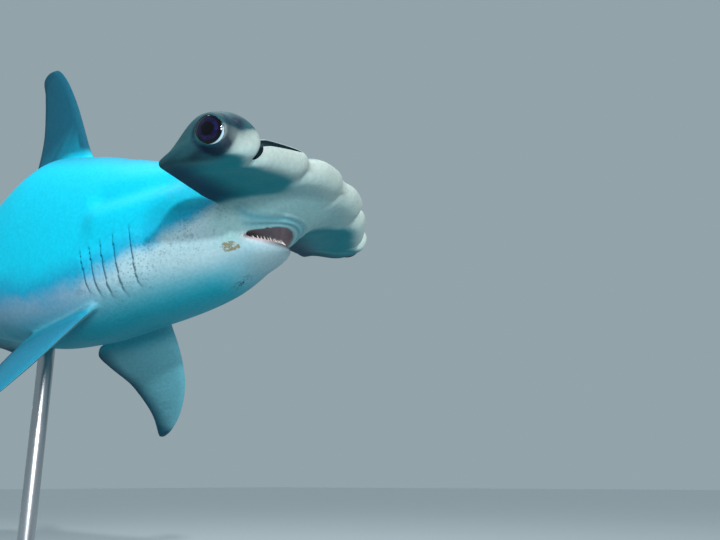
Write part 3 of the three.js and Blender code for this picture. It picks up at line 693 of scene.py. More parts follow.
@dataclass(frozen=True)
class Gills:
    """Five slits on each side, each behind the edge of a low flap."""

    slits: tuple[Gill, ...] = (
        Gill(17.65, 17.9, 0.7, -3.5),
        Gill(19.1, 19.15, 0.5, -3.7),
        Gill(20.2, 20.15, 0.2, -3.7),
        Gill(21.2, 20.95, 0, -3.5),
        Gill(22.05, 21.7, -0.2, -3.2),
    )
    lift: float = 0.2
    drop: float = 0.14
    fall: float = 0.4
    width: float = 0.085
    depth: float = 0.5
    lean: float = 0.3
    set_back: float = 0.06
    least_taper: float = 0.12
    bow: float = 0.18
    flap: float = 0.8
    first_gap: float = 1.5
    steps: int = 26

    def line(self, gill: Gill, z: Array) -> Array:
        """The slit's s at a height."""
        share = np.clip((gill.high - z) / (gill.high - gill.low), 0, 1)
        return mix(gill.top, gill.bottom, share) - self.bow * np.sin(np.pi * share)

    def relief(self, body: Array) -> Array:
        """How far the flaps stand out from the plain body."""
        s, _, z = body.T
        total = np.zeros_like(s)
        for number, gill in enumerate(self.slits):
            past = s - self.line(gill, z)
            gap = self.first_gap if number == 0 else gill.top - self.slits[number - 1].top
            fade = ease(z, gill.low - 0.7, gill.low + 0.7) * (1 - ease(z, gill.high - 0.9, gill.high + 0.5))
            rise = np.where(past <= 0, ease(past, -self.flap * gap, 0) * self.lift, 0)
            sink = np.where(past > 0, (1 - ease(past, 0, self.fall)) * self.drop, 0)
            total += fade * (rise - sink)
        return total

    def cutter(self, gill: Gill, side: Side) -> Piece:
        """A thin curved wedge that leans forwards under the flap's edge."""
        z = np.linspace(gill.high, gill.low, self.steps)
        s = self.line(gill, z)
        middle = TRUNK.middle(s)
        rise = power((z - middle) / TRUNK.reach(s, z > middle), TRUNK.section_power / 2)
        angle = np.arcsin(np.clip(rise, -1, 1))
        point = TRUNK.section(s, angle)
        slope = TRUNK.section(s, angle + 0.02) - TRUNK.section(s, angle - 0.02)
        normal = np.stack([0 * s, slope[:, 2], -slope[:, 1]], 1)
        normal /= np.linalg.norm(normal, axis=1)[:, None]
        taper = np.sqrt(np.clip(np.sin(np.linspace(0, np.pi, self.steps)), 0.0, 1))[:, None]
        taper = np.maximum(taper, self.least_taper)
        ahead = np.array([[1.0, 0, 0]])
        corners = []
        for out, forward, half in ((0.5, 0.12, 0.5), (0.02, 0, 0.5), (-self.depth, -self.lean, 0.2)):
            centre = point + normal * out * np.where(out < 0, taper, 1) + ahead * (forward + self.set_back)
            corners.append((centre, ahead * half * self.width * taper))
        ring = [centre - wide for centre, wide in corners] + [centre + wide for centre, wide in corners[::-1]]
        rings = np.stack(ring, 1) * np.array([1, side.value, 1])
        return loft("gill_cutter", straight_from_body(rings))

    def cutters(self) -> list[Piece]:
        """The wedges of all slits on both sides."""
        return [self.cutter(gill, side) for side in Side for gill in self.slits]


GILLS = Gills()


@dataclass(frozen=True)
class Eye:
    """One eyeball, sunk behind the plane of its rim at the hammer's tip."""

    s: float = 5.8
    y: float = 13.6
    z: float = 0.15
    radius: float = 1.27
    flatness: float = 0.65
    sunk: float = 0.33
    rim: float = 0.11
    facing: tuple[float, float, float] = (-0.05, 1, -0.13)
    orbit_depth: float = 1.1
    orbit_spread: float = 1.5
    slant: float = -55
    narrow: float = 0.1

    def pose(self, side: Side) -> tuple[Vector, Vector]:
        """The rim's middle in straight metres, and the direction that the eye faces."""
        middle = Vector((-self.s, side.value * self.y, self.z)) * UNIT
        forward, out, rise = self.facing
        return middle, Vector((forward, side.value * out, rise)).normalized()

    def turned(self, side: Side) -> Matrix:
        """Puts a shape that faces +Z at its origin into the eye's socket."""
        middle, facing = self.pose(side)
        return Matrix.Translation(middle) @ facing.to_track_quat("Z", "Y").to_matrix().to_4x4()

    def ball(self, side: Side, margin: float = 0.0) -> Piece:
        """The eyeball as a flattened sphere with its pole at the front.

        Args:
            side: The side that it is on.
            margin: What its radius gets on top, for the socket's cutter.

        Returns:
            The ball, in straight space.
        """
        deselect_all()
        place = (0, 0, -self.sunk * UNIT)
        size = (self.radius + margin) * UNIT
        bpy.ops.mesh.primitive_uv_sphere_add(
            segments=64, ring_count=40, radius=size, location=place, scale=(1, 1, self.flatness)
        )
        ball = placed_primitive(f"eyeball_{side.name.lower()}")
        ball.data.transform(self.turned(side))
        return ball

    def orbit(self, side: Side) -> Piece:
        """The cone of lids that carries the rim out from the tip."""
        angle = round_angles(48)
        opening = math.sqrt(self.radius**2 - (self.sunk / self.flatness) ** 2)
        lid = opening * (1 - self.narrow * np.sin(angle - math.radians(self.slant)) ** 2)
        level = self.flatness * np.sqrt(self.radius**2 - lid**2) - self.sunk
        across = lid + self.rim
        rows = [
            (across - 0.5, level + 0.2), (across - 0.12, level + 0.08), (across, level + 0.01),
            (across + 0.12, level - 0.18), (self.orbit_spread, -self.orbit_depth), (0.02, -self.orbit_depth),
        ]
        rings = np.stack([
            np.stack([radius * np.cos(angle), radius * np.sin(angle), height + 0 * angle], -1)[0]
            for radius, height in rows
        ]) * UNIT
        cone = loft("orbit", rings)
        cone.data.transform(self.turned(side))
        return cone


EYE = Eye()


@dataclass(frozen=True)
class Nostril:
    """A slit at the front margin, with a groove that runs inwards from it."""

    s: float = 4.4
    y: float = 10.6
    z: float = -0.7
    length: float = 1.5
    width: float = 0.46
    depth: float = 0.85
    groove_end: float = 6.9
    groove_radius: float = 0.36
    groove_rise: float = 0.28
    groove_inset: float = 0.12
    groove_oval: float = 1.6

    def slit(self, side: Side) -> Piece:
        """The slit's cutter, an oval."""
        deselect_all()
        bpy.ops.mesh.primitive_uv_sphere_add(segments=32, ring_count=20, radius=UNIT)
        oval = bpy.context.object
        points = points_of(oval) * np.array([self.depth, self.width, self.length / 2])
        middle = np.array([-self.s, side.value * self.y, self.z]) * UNIT
        set_points(oval, points + middle)
        return oval

    def groove(self, side: Side) -> Piece:
        """The groove's cutter, a tapered tube along the front margin."""
        y = np.linspace(self.y + 0.1, self.groove_end, 40)[:, None]
        share = (self.y - y) / (self.y - self.groove_end)
        radius = self.groove_radius * np.sqrt(np.clip(1 - share, 0.02, 1))
        s = HAMMER.front(y) + self.groove_inset
        z = HAMMER.middle(np.zeros_like(y), y) + self.groove_rise
        angle = round_angles(12)
        along = s + radius * self.groove_oval * np.cos(angle)
        ring = np.stack([along, y + 0 * angle, z + radius * np.sin(angle)], -1)
        return loft("groove", straight_from_body(ring * np.array([1, side.value, 1])))


NOSTRIL = Nostril()


@dataclass(frozen=True)
class Slab:
    """How a fin is built before it is thinned: an even plate with round edges."""

    half: float = 0.4
    slack: float = 2.2
    joint: float = 1.1
    most_round: float = 0.49
    most_past: float = 0.98
    edge_points: int = 5
    flat_points: int = 18
    spans: int = 44

    @property
    def hold(self) -> float:
        """How far from a fin's plane places still count as its plate's."""
        return self.slack * self.half

    def shares(self) -> tuple[Array, Array]:
        """Angles of the round edges and even shares of the flat between them."""
        edge = np.linspace(0, np.pi / 2, self.edge_points)
        return edge, np.linspace(0, 1, self.flat_points + 2)[1:-1]

    def rings(self, lead: Array, trail: Array, ends: Array) -> Array:
        """Rings in the fin's plane.

        Args:
            lead: The front edge, as rows of two numbers in the plane.
            trail: The rear edge, the same way.
            ends: The share of full thickness at each row, less than 1 near a tip.

        Returns:
            Rings by points by 3: the two numbers in the plane, then the offset from it.
        """
        chord = np.linalg.norm(trail - lead, axis=1)
        round_off = np.minimum(self.half, chord * self.most_round)
        edge, flat = self.shares()
        near = round_off[:, None] * (1 - np.cos(edge))[None, :]
        far = chord[:, None] - near[:, ::-1]
        span = (chord - 2 * round_off)[:, None]
        along = np.concatenate([near, round_off[:, None] + span * flat[None, :], far], 1)
        level = np.concatenate([np.sin(edge), np.ones(len(flat)), np.sin(edge)[::-1]])
        offset = level[None, :] * ends[:, None] * self.half
        share = along / np.maximum(chord[:, None], 1e-6)
        flat_points = lead[:, None, :] + (trail - lead)[:, None, :] * share[..., None]
        upper = np.concatenate([flat_points, offset[..., None]], -1)
        lower = np.concatenate([flat_points, -offset[..., None]], -1)[:, -2:0:-1]
        return np.concatenate([upper, lower], 1)


SLAB = Slab()


def blade_share(u: Array) -> Array:
    """A fin's thickness at a share of its chord; the factor 2.6 brings its peak to about 1."""
    inner = np.clip(u, 0.004, 1)
    return np.maximum(0.08, 2.6 * np.sqrt(inner) * (1 - inner) ** 0.9)


@dataclass(frozen=True)
class Fin:
    """A fin between a front and a rear margin, each as rows of height and s."""

    name: str
    front: tuple[tuple[float, float], ...]
    rear: tuple[tuple[float, float], ...]
    thick: tuple[float, float]
    settle: float = 1.6

    @property
    def low(self) -> float:
        """The height where the fin starts, inside the body."""
        return self.front[0][0]

    @property
    def high(self) -> float:
        """The height of the fin's tip."""
        return self.front[-1][0]

    @cached_property
    def front_at(self) -> Curve:
        """The front margin's s at a height."""
        return curve_through(self.front)

    @cached_property
    def rear_at(self) -> Curve:
        """The rear margin's s at a height."""
        return curve_through(self.rear)

    def body_points(self, plane: Array) -> Array:
        """Places on the body from s, height and offset in the fin's plane."""
        raise NotImplementedError

    def plane_points(self, body: Array) -> Array:
        """The s, height and offset in the fin's plane of places on the body."""
        raise NotImplementedError

    def clear_of_body(self, body: Array) -> Array:
        """How far places stand out from the body along the fin."""
        return TRUNK.outside(body)

    def half_thickness(self, plane: Array) -> Array:
        """The finished fin's half thickness at places in its plane."""
        s, height = plane[:, 0], plane[:, 1]
        front, rear = self.front_at(height), self.rear_at(height)
        u = (s - front) / np.maximum(rear - front, 0.05)
        root, tip = self.thick
        return blade_share(u) * mix(root, tip, np.clip(height / self.high, 0, 1)) / 2

    def holds(self, body: Array) -> Array:
        """Which places belong to the fin's plate."""
        plane = self.plane_points(body)
        near = (np.abs(plane[:, 2]) < SLAB.hold) & (plane[:, 1] > self.low)
        beyond = (plane[:, 1] < self.high + 1) & (plane[:, 0] > self.front[0][1] - 2)
        within = plane[:, 0] < max(row[1] for row in self.rear) + 1.5
        return near & beyond & within

    def build(self) -> Piece:
        """The fin as an even plate with round edges."""
        height = np.linspace(self.low, self.high, SLAB.spans)
        lead = np.stack([self.front_at(height), height], 1)
        trail = np.stack([self.rear_at(height), height], 1)
        return self.plate(lead, trail, height)

    def plate(self, lead: Array, trail: Array, level: Array) -> Piece:
        """An even plate between two edges.

        Args:
            lead: The front edge, as rows of two numbers in the plane.
            trail: The rear edge, the same way.
            level: How far each row is on the way to the tip, where the plate is rounded off.

        Returns:
            The closed plate, in straight space.
        """
        past = np.clip((level - self.high + SLAB.half) / SLAB.half, 0, SLAB.most_past)
        rings = SLAB.rings(lead, trail, np.sqrt(1 - past**2))
        body = self.body_points(rings.reshape(-1, 3)).reshape(rings.shape)
        return loft(self.name, straight_from_body(body))

    def dusk(self, body: Array) -> Array:
        """How dusky the fin is, rising towards its rear margin and its tip."""
        s, height, _ = self.plane_points(body).T
        return np.clip(ease(self.rear_at(height) - s, 2.5, 0) + ease(height, self.high - 2, self.high), 0, 1)

    def joint(self, body: Array, offset: Array) -> Array:
        """A bell round the body's surface and the plate's faces."""
        off = np.maximum(0, np.abs(offset) - SLAB.half)
        return np.exp(-((TRUNK.outside(body) / SLAB.joint) ** 2) - (off / SLAB.joint) ** 2)

    def root_nearness(self, body: Array) -> Array:
        """A bell round the line where the plate leaves the body."""
        plane = self.plane_points(body)
        reach = (plane[:, 0] > self.front[1][1] - 1.5) & (plane[:, 0] < self.rear[1][1] + 2.5)
        level = np.abs(plane[:, 1]) < 3.5
        return self.joint(body, plane[:, 2]) * reach * level

    def thin(self, body: Array) -> Array:
        """Brings the plate to the fin's real thickness, and leaves the body as it is."""
        held = self.holds(body)
        plane = self.plane_points(body[held])
        settled = ease(self.clear_of_body(body[held]), 0, self.settle)
        plane[:, 2] *= mix(1, self.half_thickness(plane) / SLAB.half, settled)
        finished = body.copy()
        finished[held] = self.body_points(plane)
        return finished


@dataclass(frozen=True)
class MedianFin(Fin):
    """A fin on the animal's middle plane, on the back or under the belly."""

    up: bool = True
    root_length: float = 8

    def foot(self, s: Array) -> Array:
        """The height that the fin's own heights start from."""
        reach = np.minimum(s, self.front[1][1] + self.root_length)
        return TRUNK.back(reach) if self.up else TRUNK.belly(reach)

    def body_points(self, plane: Array) -> Array:
        """Places on the body from s, height and offset in the fin's plane."""
        sign = 1 if self.up else -1
        return np.stack([plane[:, 0], plane[:, 2], self.foot(plane[:, 0]) + sign * plane[:, 1]], 1)

    def plane_points(self, body: Array) -> Array:
        """The s, height and offset in the fin's plane of places on the body."""
        sign = 1 if self.up else -1
        return np.stack([body[:, 0], sign * (body[:, 2] - self.foot(body[:, 0])), body[:, 1]], 1)

    def clear_of_body(self, body: Array) -> Array:
        """How far places stand over the back, or under the belly."""
        if self.up:
            return body[:, 2] - TRUNK.back(body[:, 0])
        return TRUNK.belly(body[:, 0]) - body[:, 2]


@dataclass(frozen=True)
class PairedFin(Fin):
    """A fin that stands out and down from one side of the belly."""

    side: Side = Side.LEFT
    root_y: float = 4.5
    root_z: float = -4.3
    fall: float = 0.94
    curve: float = 0.006
    tilt: float = 0.3

    @property
    def out(self) -> Array:
        """The direction from root to tip, across and up."""
        return np.array([1, -self.fall]) / math.hypot(1, self.fall)

    def drop(self, plane: Array) -> Array:
        """How far the fin's surface lies off a flat plane."""
        height = np.maximum(0, plane[:, 1])
        return self.curve * height**2 + self.tilt * (plane[:, 0] - self.front[1][1])

    def body_points(self, plane: Array) -> Array:
        """Places on the body from s, height and offset in the fin's plane."""
        off = plane[:, 2] - self.drop(plane)
        y = self.root_y + self.out[0] * plane[:, 1] - self.out[1] * off
        z = self.root_z + self.out[1] * plane[:, 1] + self.out[0] * off
        return np.stack([plane[:, 0], self.side.value * y, z], 1)

    def plane_points(self, body: Array) -> Array:
        """The s, height and offset in the fin's plane of places on the body."""
        across = self.side.value * body[:, 1] - self.root_y
        rise = body[:, 2] - self.root_z
        height = across * self.out[0] + rise * self.out[1]
        off = -across * self.out[1] + rise * self.out[0]
        plane = np.stack([body[:, 0], height, off], 1)
        plane[:, 2] += self.drop(plane)
        return plane


@dataclass(frozen=True)
class UpperLobe(Fin):
    """The tail fin's long upper lobe, whose margins are heights along s."""

    stem_start: tuple[float, float] = (68, 70)
    stem_end: tuple[float, float] = (90, 92)
    thin_from: float = 70
    overlap: float = 1.2

    def body_points(self, plane: Array) -> Array:
        """Places on the body from s, height and offset in the fin's plane."""
        return plane[:, [0, 2, 1]]

    def plane_points(self, body: Array) -> Array:
        """The s, height and offset in the fin's plane of places on the body."""
        return body[:, [0, 2, 1]]

    def clear_of_body(self, body: Array) -> Array:
        """How far places stand over or under the tail's stem."""
        s, z = body[:, 0], body[:, 2]
        ended = 3 * ease(s, *self.stem_end)
        return np.maximum(z - TRUNK.back(s), TRUNK.belly(s) - z) + ended

    def half_thickness(self, plane: Array) -> Array:
        """The finished lobe's half thickness at places in its plane."""
        s, z = plane[:, 0], plane[:, 1]
        front, rear = self.front_at(s), self.rear_at(s)
        u = (front - z) / np.maximum(front - rear, 0.05)
        root, tip = self.thick
        return blade_share(u) * mix(root, tip, ease(s, self.thin_from, self.stem_end[1])) / 2

    def underside(self, s: Array) -> Array:
        """The height under which places belong to the lower lobe."""
        return np.minimum(self.rear_at(s), TRUNK.belly(s)) - self.overlap

    def holds(self, body: Array) -> Array:
        """Which places belong to the lobe's plate."""
        s, y, z = body.T
        return (s > self.low) & (np.abs(y) < SLAB.hold) & (z > self.underside(s))

    def dusk(self, body: Array) -> Array:
        """How dusky the lobe is, rising towards its rear margin."""
        return ease(np.abs(self.rear_at(body[:, 0]) - body[:, 2]), 2.2, 0)

    def root_nearness(self, body: Array) -> Array:
        """A bell round the line where the plate leaves the tail's stem."""
        s, y, z = body.T
        inside = ease(z - self.rear_at(s), 0.5, 1.2) * ease(self.front_at(s) - z, 0.3, 0.9)
        tail = ease(s, *self.stem_start) * (1 - ease(s, *self.stem_end)) * inside
        return self.joint(body, y) * tail

    def build(self) -> Piece:
        """The lobe as an even plate with round edges."""
        s = np.linspace(self.low, self.high, 2 * SLAB.spans)
        lead = np.stack([s, self.front_at(s)], 1)
        trail = np.stack([s + 0.01, self.rear_at(s)], 1)
        return self.plate(lead, trail, s)


@dataclass(frozen=True)
class LowerLobe(Fin):
    """The tail fin's lower lobe, whose heights run down from a level in the tail."""

    top: float = 1.4
    span: tuple[float, float] = (68, 84)

    def body_points(self, plane: Array) -> Array:
        """Places on the body from s, height and offset in the fin's plane."""
        return np.stack([plane[:, 0], plane[:, 2], self.top - plane[:, 1]], 1)

    def plane_points(self, body: Array) -> Array:
        """The s, height and offset in the fin's plane of places on the body."""
        return np.stack([body[:, 0], self.top - body[:, 2], body[:, 1]], 1)

    def clear_of_body(self, body: Array) -> Array:
        """How far places lie under the tail's stem."""
        return TRUNK.belly(body[:, 0]) - body[:, 2]

    def holds(self, body: Array) -> Array:
        """Which places belong to the lobe's plate and not to the upper lobe's."""
        s, y, z = body.T
        start, end = self.span
        return (s > start) & (s < end) & (np.abs(y) < SLAB.hold) & (z < UPPER_LOBE.underside(s))

    def root_nearness(self, body: Array) -> Array:
        """The upper lobe softens the root of both."""
        return np.zeros(len(body))


PECTORAL: Settings = {
    "front": ((-2.6, 21.3), (0, 21.6), (3, 22.1), (6.5, 23), (10, 24.7), (12.6, 26.9), (13.5, 28.3)),
    "rear": (
        (-2.6, 27), (0.3, 27.2), (1.6, 29.9), (2.8, 30.9), (4.2, 30.4), (7, 28.9), (10.5, 28.4), (13.5, 29),
    ),
    "thick": (1.1, 0.25),
}
PELVIC: Settings = {
    "front": ((-1.5, 47), (0, 47.4), (1.5, 48.3), (3, 49.6), (4, 50.9), (4.4, 51.8)),
    "rear": ((-1.5, 51.6), (0.2, 51.8), (0.9, 53.6), (1.6, 53.9), (2.6, 53.1), (4.4, 52.3)),
    "thick": (0.6, 0.2),
    "root_y": 2.5,
    "root_z": -5.1,
    "fall": 0.55,
    "tilt": 0.1,
}
DORSAL = MedianFin(
    name="dorsal_first",
    front=((-1.6, 27.6), (0, 29.1), (3, 30.8), (6.5, 32.5), (9.8, 34.2), (11.4, 35.3), (12.15, 36.5)),
    rear=(
        (-1.6, 37.4), (0.15, 37.6), (0.6, 39.6), (1.2, 39), (2.6, 37.5), (6, 36.7), (10.2, 37), (11.7, 37.35),
        (12.15, 37.1),
    ),
    thick=(1.15, 0.3),
)
SECOND_DORSAL = MedianFin(
    name="dorsal_second",
    front=((-1.2, 61.8), (0, 62.6), (1.2, 63.8), (2, 64.8), (2.5, 65.9)),
    rear=((-1.2, 66.1), (0.15, 66.3), (0.4, 71.2), (0.8, 70.2), (1.4, 67.9), (2.5, 66.6)),
    thick=(0.5, 0.2),
    settle=0.7,
)
ANAL = MedianFin(
    name="anal_fin",
    front=((-1.2, 59.6), (0, 60.6), (1.6, 62.2), (2.7, 63.6), (3.3, 65)),
    rear=((-1.2, 65.6), (0.15, 65.9), (0.45, 69), (0.9, 68.3), (1.5, 66.3), (2.4, 65.6), (3.3, 66)),
    thick=(0.5, 0.2),
    settle=0.7,
    up=False,
)
UPPER_LOBE = UpperLobe(
    name="caudal_upper",
    front=((68.5, 1.4), (71, 2.2), (74, 3.9), (80, 8.3), (86, 13.1), (91, 16.9), (94.4, 19.5), (96.2, 20.8)),
    rear=(
        (68.5, -0.6), (73, -2.2), (76, -1.2), (80, 2.6), (86, 7.9), (90, 11.6), (91.6, 13.3), (92.4, 12.6),
        (94.8, 15.9), (96.2, 19.9),
    ),
    thick=(1.5, 0.25),
    settle=1.0,
)
LOWER_LOBE = LowerLobe(
    name="caudal_lower",
    front=((0, 69.8), (1, 70.3), (4, 72), (7.5, 74.4), (10.5, 77.2), (11.6, 78.8)),
    rear=((0, 78.6), (1, 78.1), (4, 77.6), (7.5, 78.2), (10.5, 79.3), (11.6, 79.7)),
    thick=(0.8, 0.25),
    settle=1.0,
)
FINS: tuple[Fin, ...] = (
    DORSAL,
    SECOND_DORSAL,
    ANAL,
    *(PairedFin(name=f"pectoral_{side.name.lower()}", side=side, **PECTORAL) for side in Side),
    *(PairedFin(name=f"pelvic_{side.name.lower()}", side=side, settle=0.8, **PELVIC) for side in Side),
    UPPER_LOBE,
    LOWER_LOBE,
)


@dataclass(frozen=True)
class Squeeze:
    """Makes the rear of the animal smaller while it is remeshed, so that it gets fewer faces."""

    start: float = 23
    end: float = 28
    along: float = 0.62
    across: float = 0.8
    first: float = -4
    last: float = 106
    step: float = 0.05

    @cached_property
    def table(self) -> tuple[Array, Array]:
        """Real places along the body and their squeezed places."""
        real = np.arange(self.first, self.last, self.step)
        rate = mix(1, self.along, ease(real, self.start, self.end))
        return real, np.cumsum(rate) * self.step + self.first

    def thickness(self, s: Array) -> Array:
        """The share of its width and height that the body keeps at s."""
        return mix(1, self.across, ease(s, self.start, self.end))

    def press(self, body: Array) -> Array:
        """Squeezed places from real ones."""
        real, small = self.table
        scale = self.thickness(body[:, 0])
        return np.stack([np.interp(body[:, 0], real, small), body[:, 1] * scale, body[:, 2] * scale], 1)

    def release(self, body: Array) -> Array:
        """Real places from squeezed ones."""
        real, small = self.table
        s = np.interp(body[:, 0], small, real)
        scale = self.thickness(s)
        return np.stack([s, body[:, 1] / scale, body[:, 2] / scale], 1)


SQUEEZE = Squeeze()


def linear(code: str) -> tuple[float, float, float, float]:
    """A linear colour with full alpha from an sRGB hex code."""
    channels = [int(code[i : i + 2], 16) / 255 for i in (1, 3, 5)]
    rgb = [c / 12.92 if c <= 0.04045 else ((c + 0.055) / 1.055) ** 2.4 for c in channels]
    return (*rgb, 1.0)


def add_node(
    tree: bpy.types.NodeTree,
    kind: str,
    settings: Settings | None = None,
    inputs: dict[object, object] | None = None,
) -> bpy.types.Node:
    """Adds a node, sets its properties, and sets or links its inputs.

    Args:
        tree: The material's node tree.
        kind: The node's type name.
        settings: Its properties by name.
        inputs: Values or output sockets, by input name or number.

    Returns:
        The new node.
    """
    node = tree.nodes.new(kind)
    for name, value in (settings or {}).items():
        setattr(node, name, value)
    for key, value in (inputs or {}).items():
        if isinstance(value, Socket):
            tree.links.new(value, node.inputs[key])
        else:
            node.inputs[key].default_value = value
    return node


class Paint:
    """A material's node tree with its shader, and the few steps that the finishes share."""

    def __init__(self, name: str, shader: Settings) -> None:
        """Starts a material.

        Args:
            name: The material's name.
            shader: Constant values for the shader's sockets.
        """
        self.material = bpy.data.materials.new(name)
        self.material.use_nodes = True
        self.tree = self.material.node_tree
        self.tree.nodes.clear()
        self.shader = add_node(self.tree, "ShaderNodeBsdfPrincipled", inputs=shader)
        add_node(self.tree, "ShaderNodeOutputMaterial", inputs={0: self.shader.outputs[0]})
        self.place = add_node(self.tree, "ShaderNodeTexCoord").outputs["Object"]

    def attribute(self, name: str) -> Socket:
        """The output of a vertex attribute."""
        return add_node(self.tree, "ShaderNodeAttribute", {"attribute_name": name}).outputs["Fac"]

    def noise(self, size: float, detail: float = 3, rough: float = 0.55) -> Socket:
        """Noise with spots of about a size in metres."""
        inputs = {"Vector": self.place, "Scale": 0.6 / size, "Detail": detail, "Roughness": rough}
        return add_node(self.tree, "ShaderNodeTexNoise", inputs=inputs).outputs["Fac"]

    def spread(self, value: Socket, low: float, high: float,
               to_low: float = 0.0, to_high: float = 1.0) -> Socket:
        """Maps a range of a value smoothly on another range."""
        return add_node(
            self.tree,
            "ShaderNodeMapRange",
            {"interpolation_type": "SMOOTHSTEP"},
            {"Value": value, "From Min": low, "From Max": high, "To Min": to_low, "To Max": to_high},
        ).outputs["Result"]

    def combine(self, first: object, second: object, operation: str = "ADD") -> Socket:
        """Two numbers added, or joined by another operation."""
        return add_node(
            self.tree, "ShaderNodeMath", {"operation": operation}, {0: first, 1: second}
        ).outputs[0]

    def blend(self, first: object, second: object, share: object, kind: str = "MIX") -> Socket:
        """A colour a share of the way from first to second, or the two joined by another blend."""
        return add_node(
            self.tree,
            "ShaderNodeMix",
            {"data_type": "RGBA", "blend_type": kind},
            {0: share, 6: first, 7: second},
        ).outputs[2]

    def set_colour(self, colour: Socket) -> None:
        """Links the surface's colour."""
        self.tree.links.new(colour, self.shader.inputs["Base Color"])

    def set_roughness(self, value: Socket) -> None:
        """Links the surface's roughness."""
        self.tree.links.new(value, self.shader.inputs["Roughness"])

    def set_bump(self, height: Socket, depth: float, strength: float) -> None:
        """Links a bump of a depth in metres, at a share of its strength."""
        bump = add_node(
            self.tree, "ShaderNodeBump", inputs={"Height": height, "Distance": depth, "Strength": strength}
        )
        self.tree.links.new(bump.outputs[0], self.shader.inputs["Normal"])


@dataclass(frozen=True)
class SharkSkin:
    """Wet shark skin: tiny tooth-like scales give it a satin, slightly rough sheen.

    Back and shoulders are bright blue in the water's light, deeper along the ridge. They end in a
    soft line above the pale throat and flank, which have small dark specks, and the belly is
    painted with teal shade along its keel. The head is dark above and grey-white below; behind its
    front margin its underside carries painted shade, pale blue at first, then teal and navy towards
    its rear one. Gums are pale pink, the creases round the upper lip carry painted bluish shade,
    and painted shade darkens the mouth towards the throat. Real scales are a third of a millimetre
    wide, too fine to show, so their grain is drawn 4.5 mm wide. Sizes are in metres.
    """

    back: str = "#05BFDC"
    shoulder: str = "#1697BC"
    flank: str = "#7E9DB4"
    throat: str = "#9DBDC6"
    # Painted shade along the belly.
    keel_shade: str = "#0E9CB2"
    head_top: str = "#27525A"
    head_low: str = "#AAB8B3"
    # The next three colours are painted shade under the hammer: pale blue, teal and navy.
    head_underside_shade: str = "#90BABD"
    underside_teal_shade: str = "#13808C"
    underside_navy_shade: str = "#07304D"
    temple: str = "#264E57"
    fin_blue: str = "#237F9C"
    fin_low: str = "#5FA3B2"
    fin_dark: str = "#124F63"
    dark: str = "#0A2238"
    mouth_roof: str = "#B49CA3"
    # Painted shade deep in the mouth.
    mouth_deep_shade: str = "#1B1016"
    gum: str = "#EBD3D8"
    # Painted shade in the creases round the upper lip.
    lip_crease_shade: str = "#3A93A6"
    crumb: str = "#7C7654"
    ridge: str = "#0B93B2"
    line_waver: float = 0.03
    cloud: float = 0.035
    speck_grid: float = 0.005
    speck_drift: float = 0.04
    blot: float = 0.016
    crumb_size: float = 0.006
    grain: float = 0.0045
    grain_depth: float = 0.0006
    gloss_drift: float = 0.045

    def trunk(self, paint: Paint) -> Socket:
        """The body's colours from the belly's painted shade to the back."""
        uneven = paint.spread(paint.noise(self.line_waver, 4), 0.3, 0.7, -0.035, 0.035)
        rise = paint.combine(paint.attribute("rise"), uneven)
        pale = paint.blend(linear(self.flank), linear(self.throat), paint.attribute("throat"))
        # Painted teal shade along the belly.
        pale = paint.blend(pale, linear(self.keel_shade), paint.attribute("keel_shade"))
        upper = paint.blend(linear(self.shoulder), linear(self.back), paint.spread(rise, 0.5, 0.86))
        upper = paint.blend(upper, linear(self.ridge), paint.attribute("ridge"))
        return paint.blend(pale, upper, paint.spread(rise, 0.38, 0.6))

    def head(self, paint: Paint) -> Socket:
        """The head's colours: the pale front lobes, painted shade that deepens to navy at the rear margin,
        and the dark top.
        """
        cloud = paint.spread(paint.noise(self.cloud, 4), 0.3, 0.7, -0.12, 0.12)
        # Painted shade under the hammer: pale blue behind the front margin, then teal, then navy at the rear
        # margin.
        shade = paint.spread(paint.combine(paint.attribute("shade"), cloud), 0.08, 0.9)
        under = paint.blend(linear(self.head_low), linear(self.head_underside_shade), paint.attribute("underside_shade"))
        under = paint.blend(under, linear(self.underside_teal_shade), shade)
        under = paint.blend(under, linear(self.underside_navy_shade), paint.attribute("rear_underside_shade"))
        patchy = paint.spread(cloud, -0.1, 0.1, 0.8, 1.0)
        temple = paint.combine(paint.attribute("temple"), patchy, "MULTIPLY")
        under = paint.blend(under, linear(self.temple), temple)
        return paint.blend(under, linear(self.head_top), paint.attribute("crown"))

    def specks(self, paint: Paint, size: float, share: float, edge: float) -> Socket:
        """Small round specks.

        Args:
            paint: The material.
            size: The grid of the specks in metres.
            share: The share of the grid's cells that hold a speck.
            edge: A speck's radius as a share of the grid.

        Returns:
            A mask that is 1 on a speck.
        """
        cells = add_node(
            paint.tree, "ShaderNodeTexVoronoi", inputs={"Vector": paint.place, "Scale": 1 / size}
        )
        held = paint.spread(cells.outputs["Color"], share + 0.01, share)
        spot = paint.spread(cells.outputs["Distance"], edge, edge * 0.5)
        return paint.combine(held, spot, "MULTIPLY")

    def marks(self, paint: Paint, colour: Socket) -> Socket:
        """Adds specks, painted shade in the lips' creases and round the lids, darker patches at the
        hammer's tips, chafed skin and the crumbly patch on the jaw.

        Args:
            paint: The material.
            colour: The skin's colour so far.

        Returns:
            The colour with its marks.
        """
        dense = paint.spread(paint.noise(self.speck_drift, 4), 0.38, 0.62, 0.06, 0.34)
        fine = paint.combine(self.specks(paint, self.speck_grid, 0.55, 0.5), dense, "MULTIPLY")
        large = paint.spread(paint.noise(self.blot, 3, 0.6), 0.62, 0.72, 0.0, 0.36)
        specks = paint.combine(fine, large, "MAXIMUM")
        specks = paint.combine(specks, paint.attribute("speckle"), "MULTIPLY")
        colour = paint.blend(colour, linear(self.dark), specks)
        # Painted shade in the creases round the upper lip.
        colour = paint.blend(colour, linear(self.lip_crease_shade), paint.attribute("lip_crease_shade"))
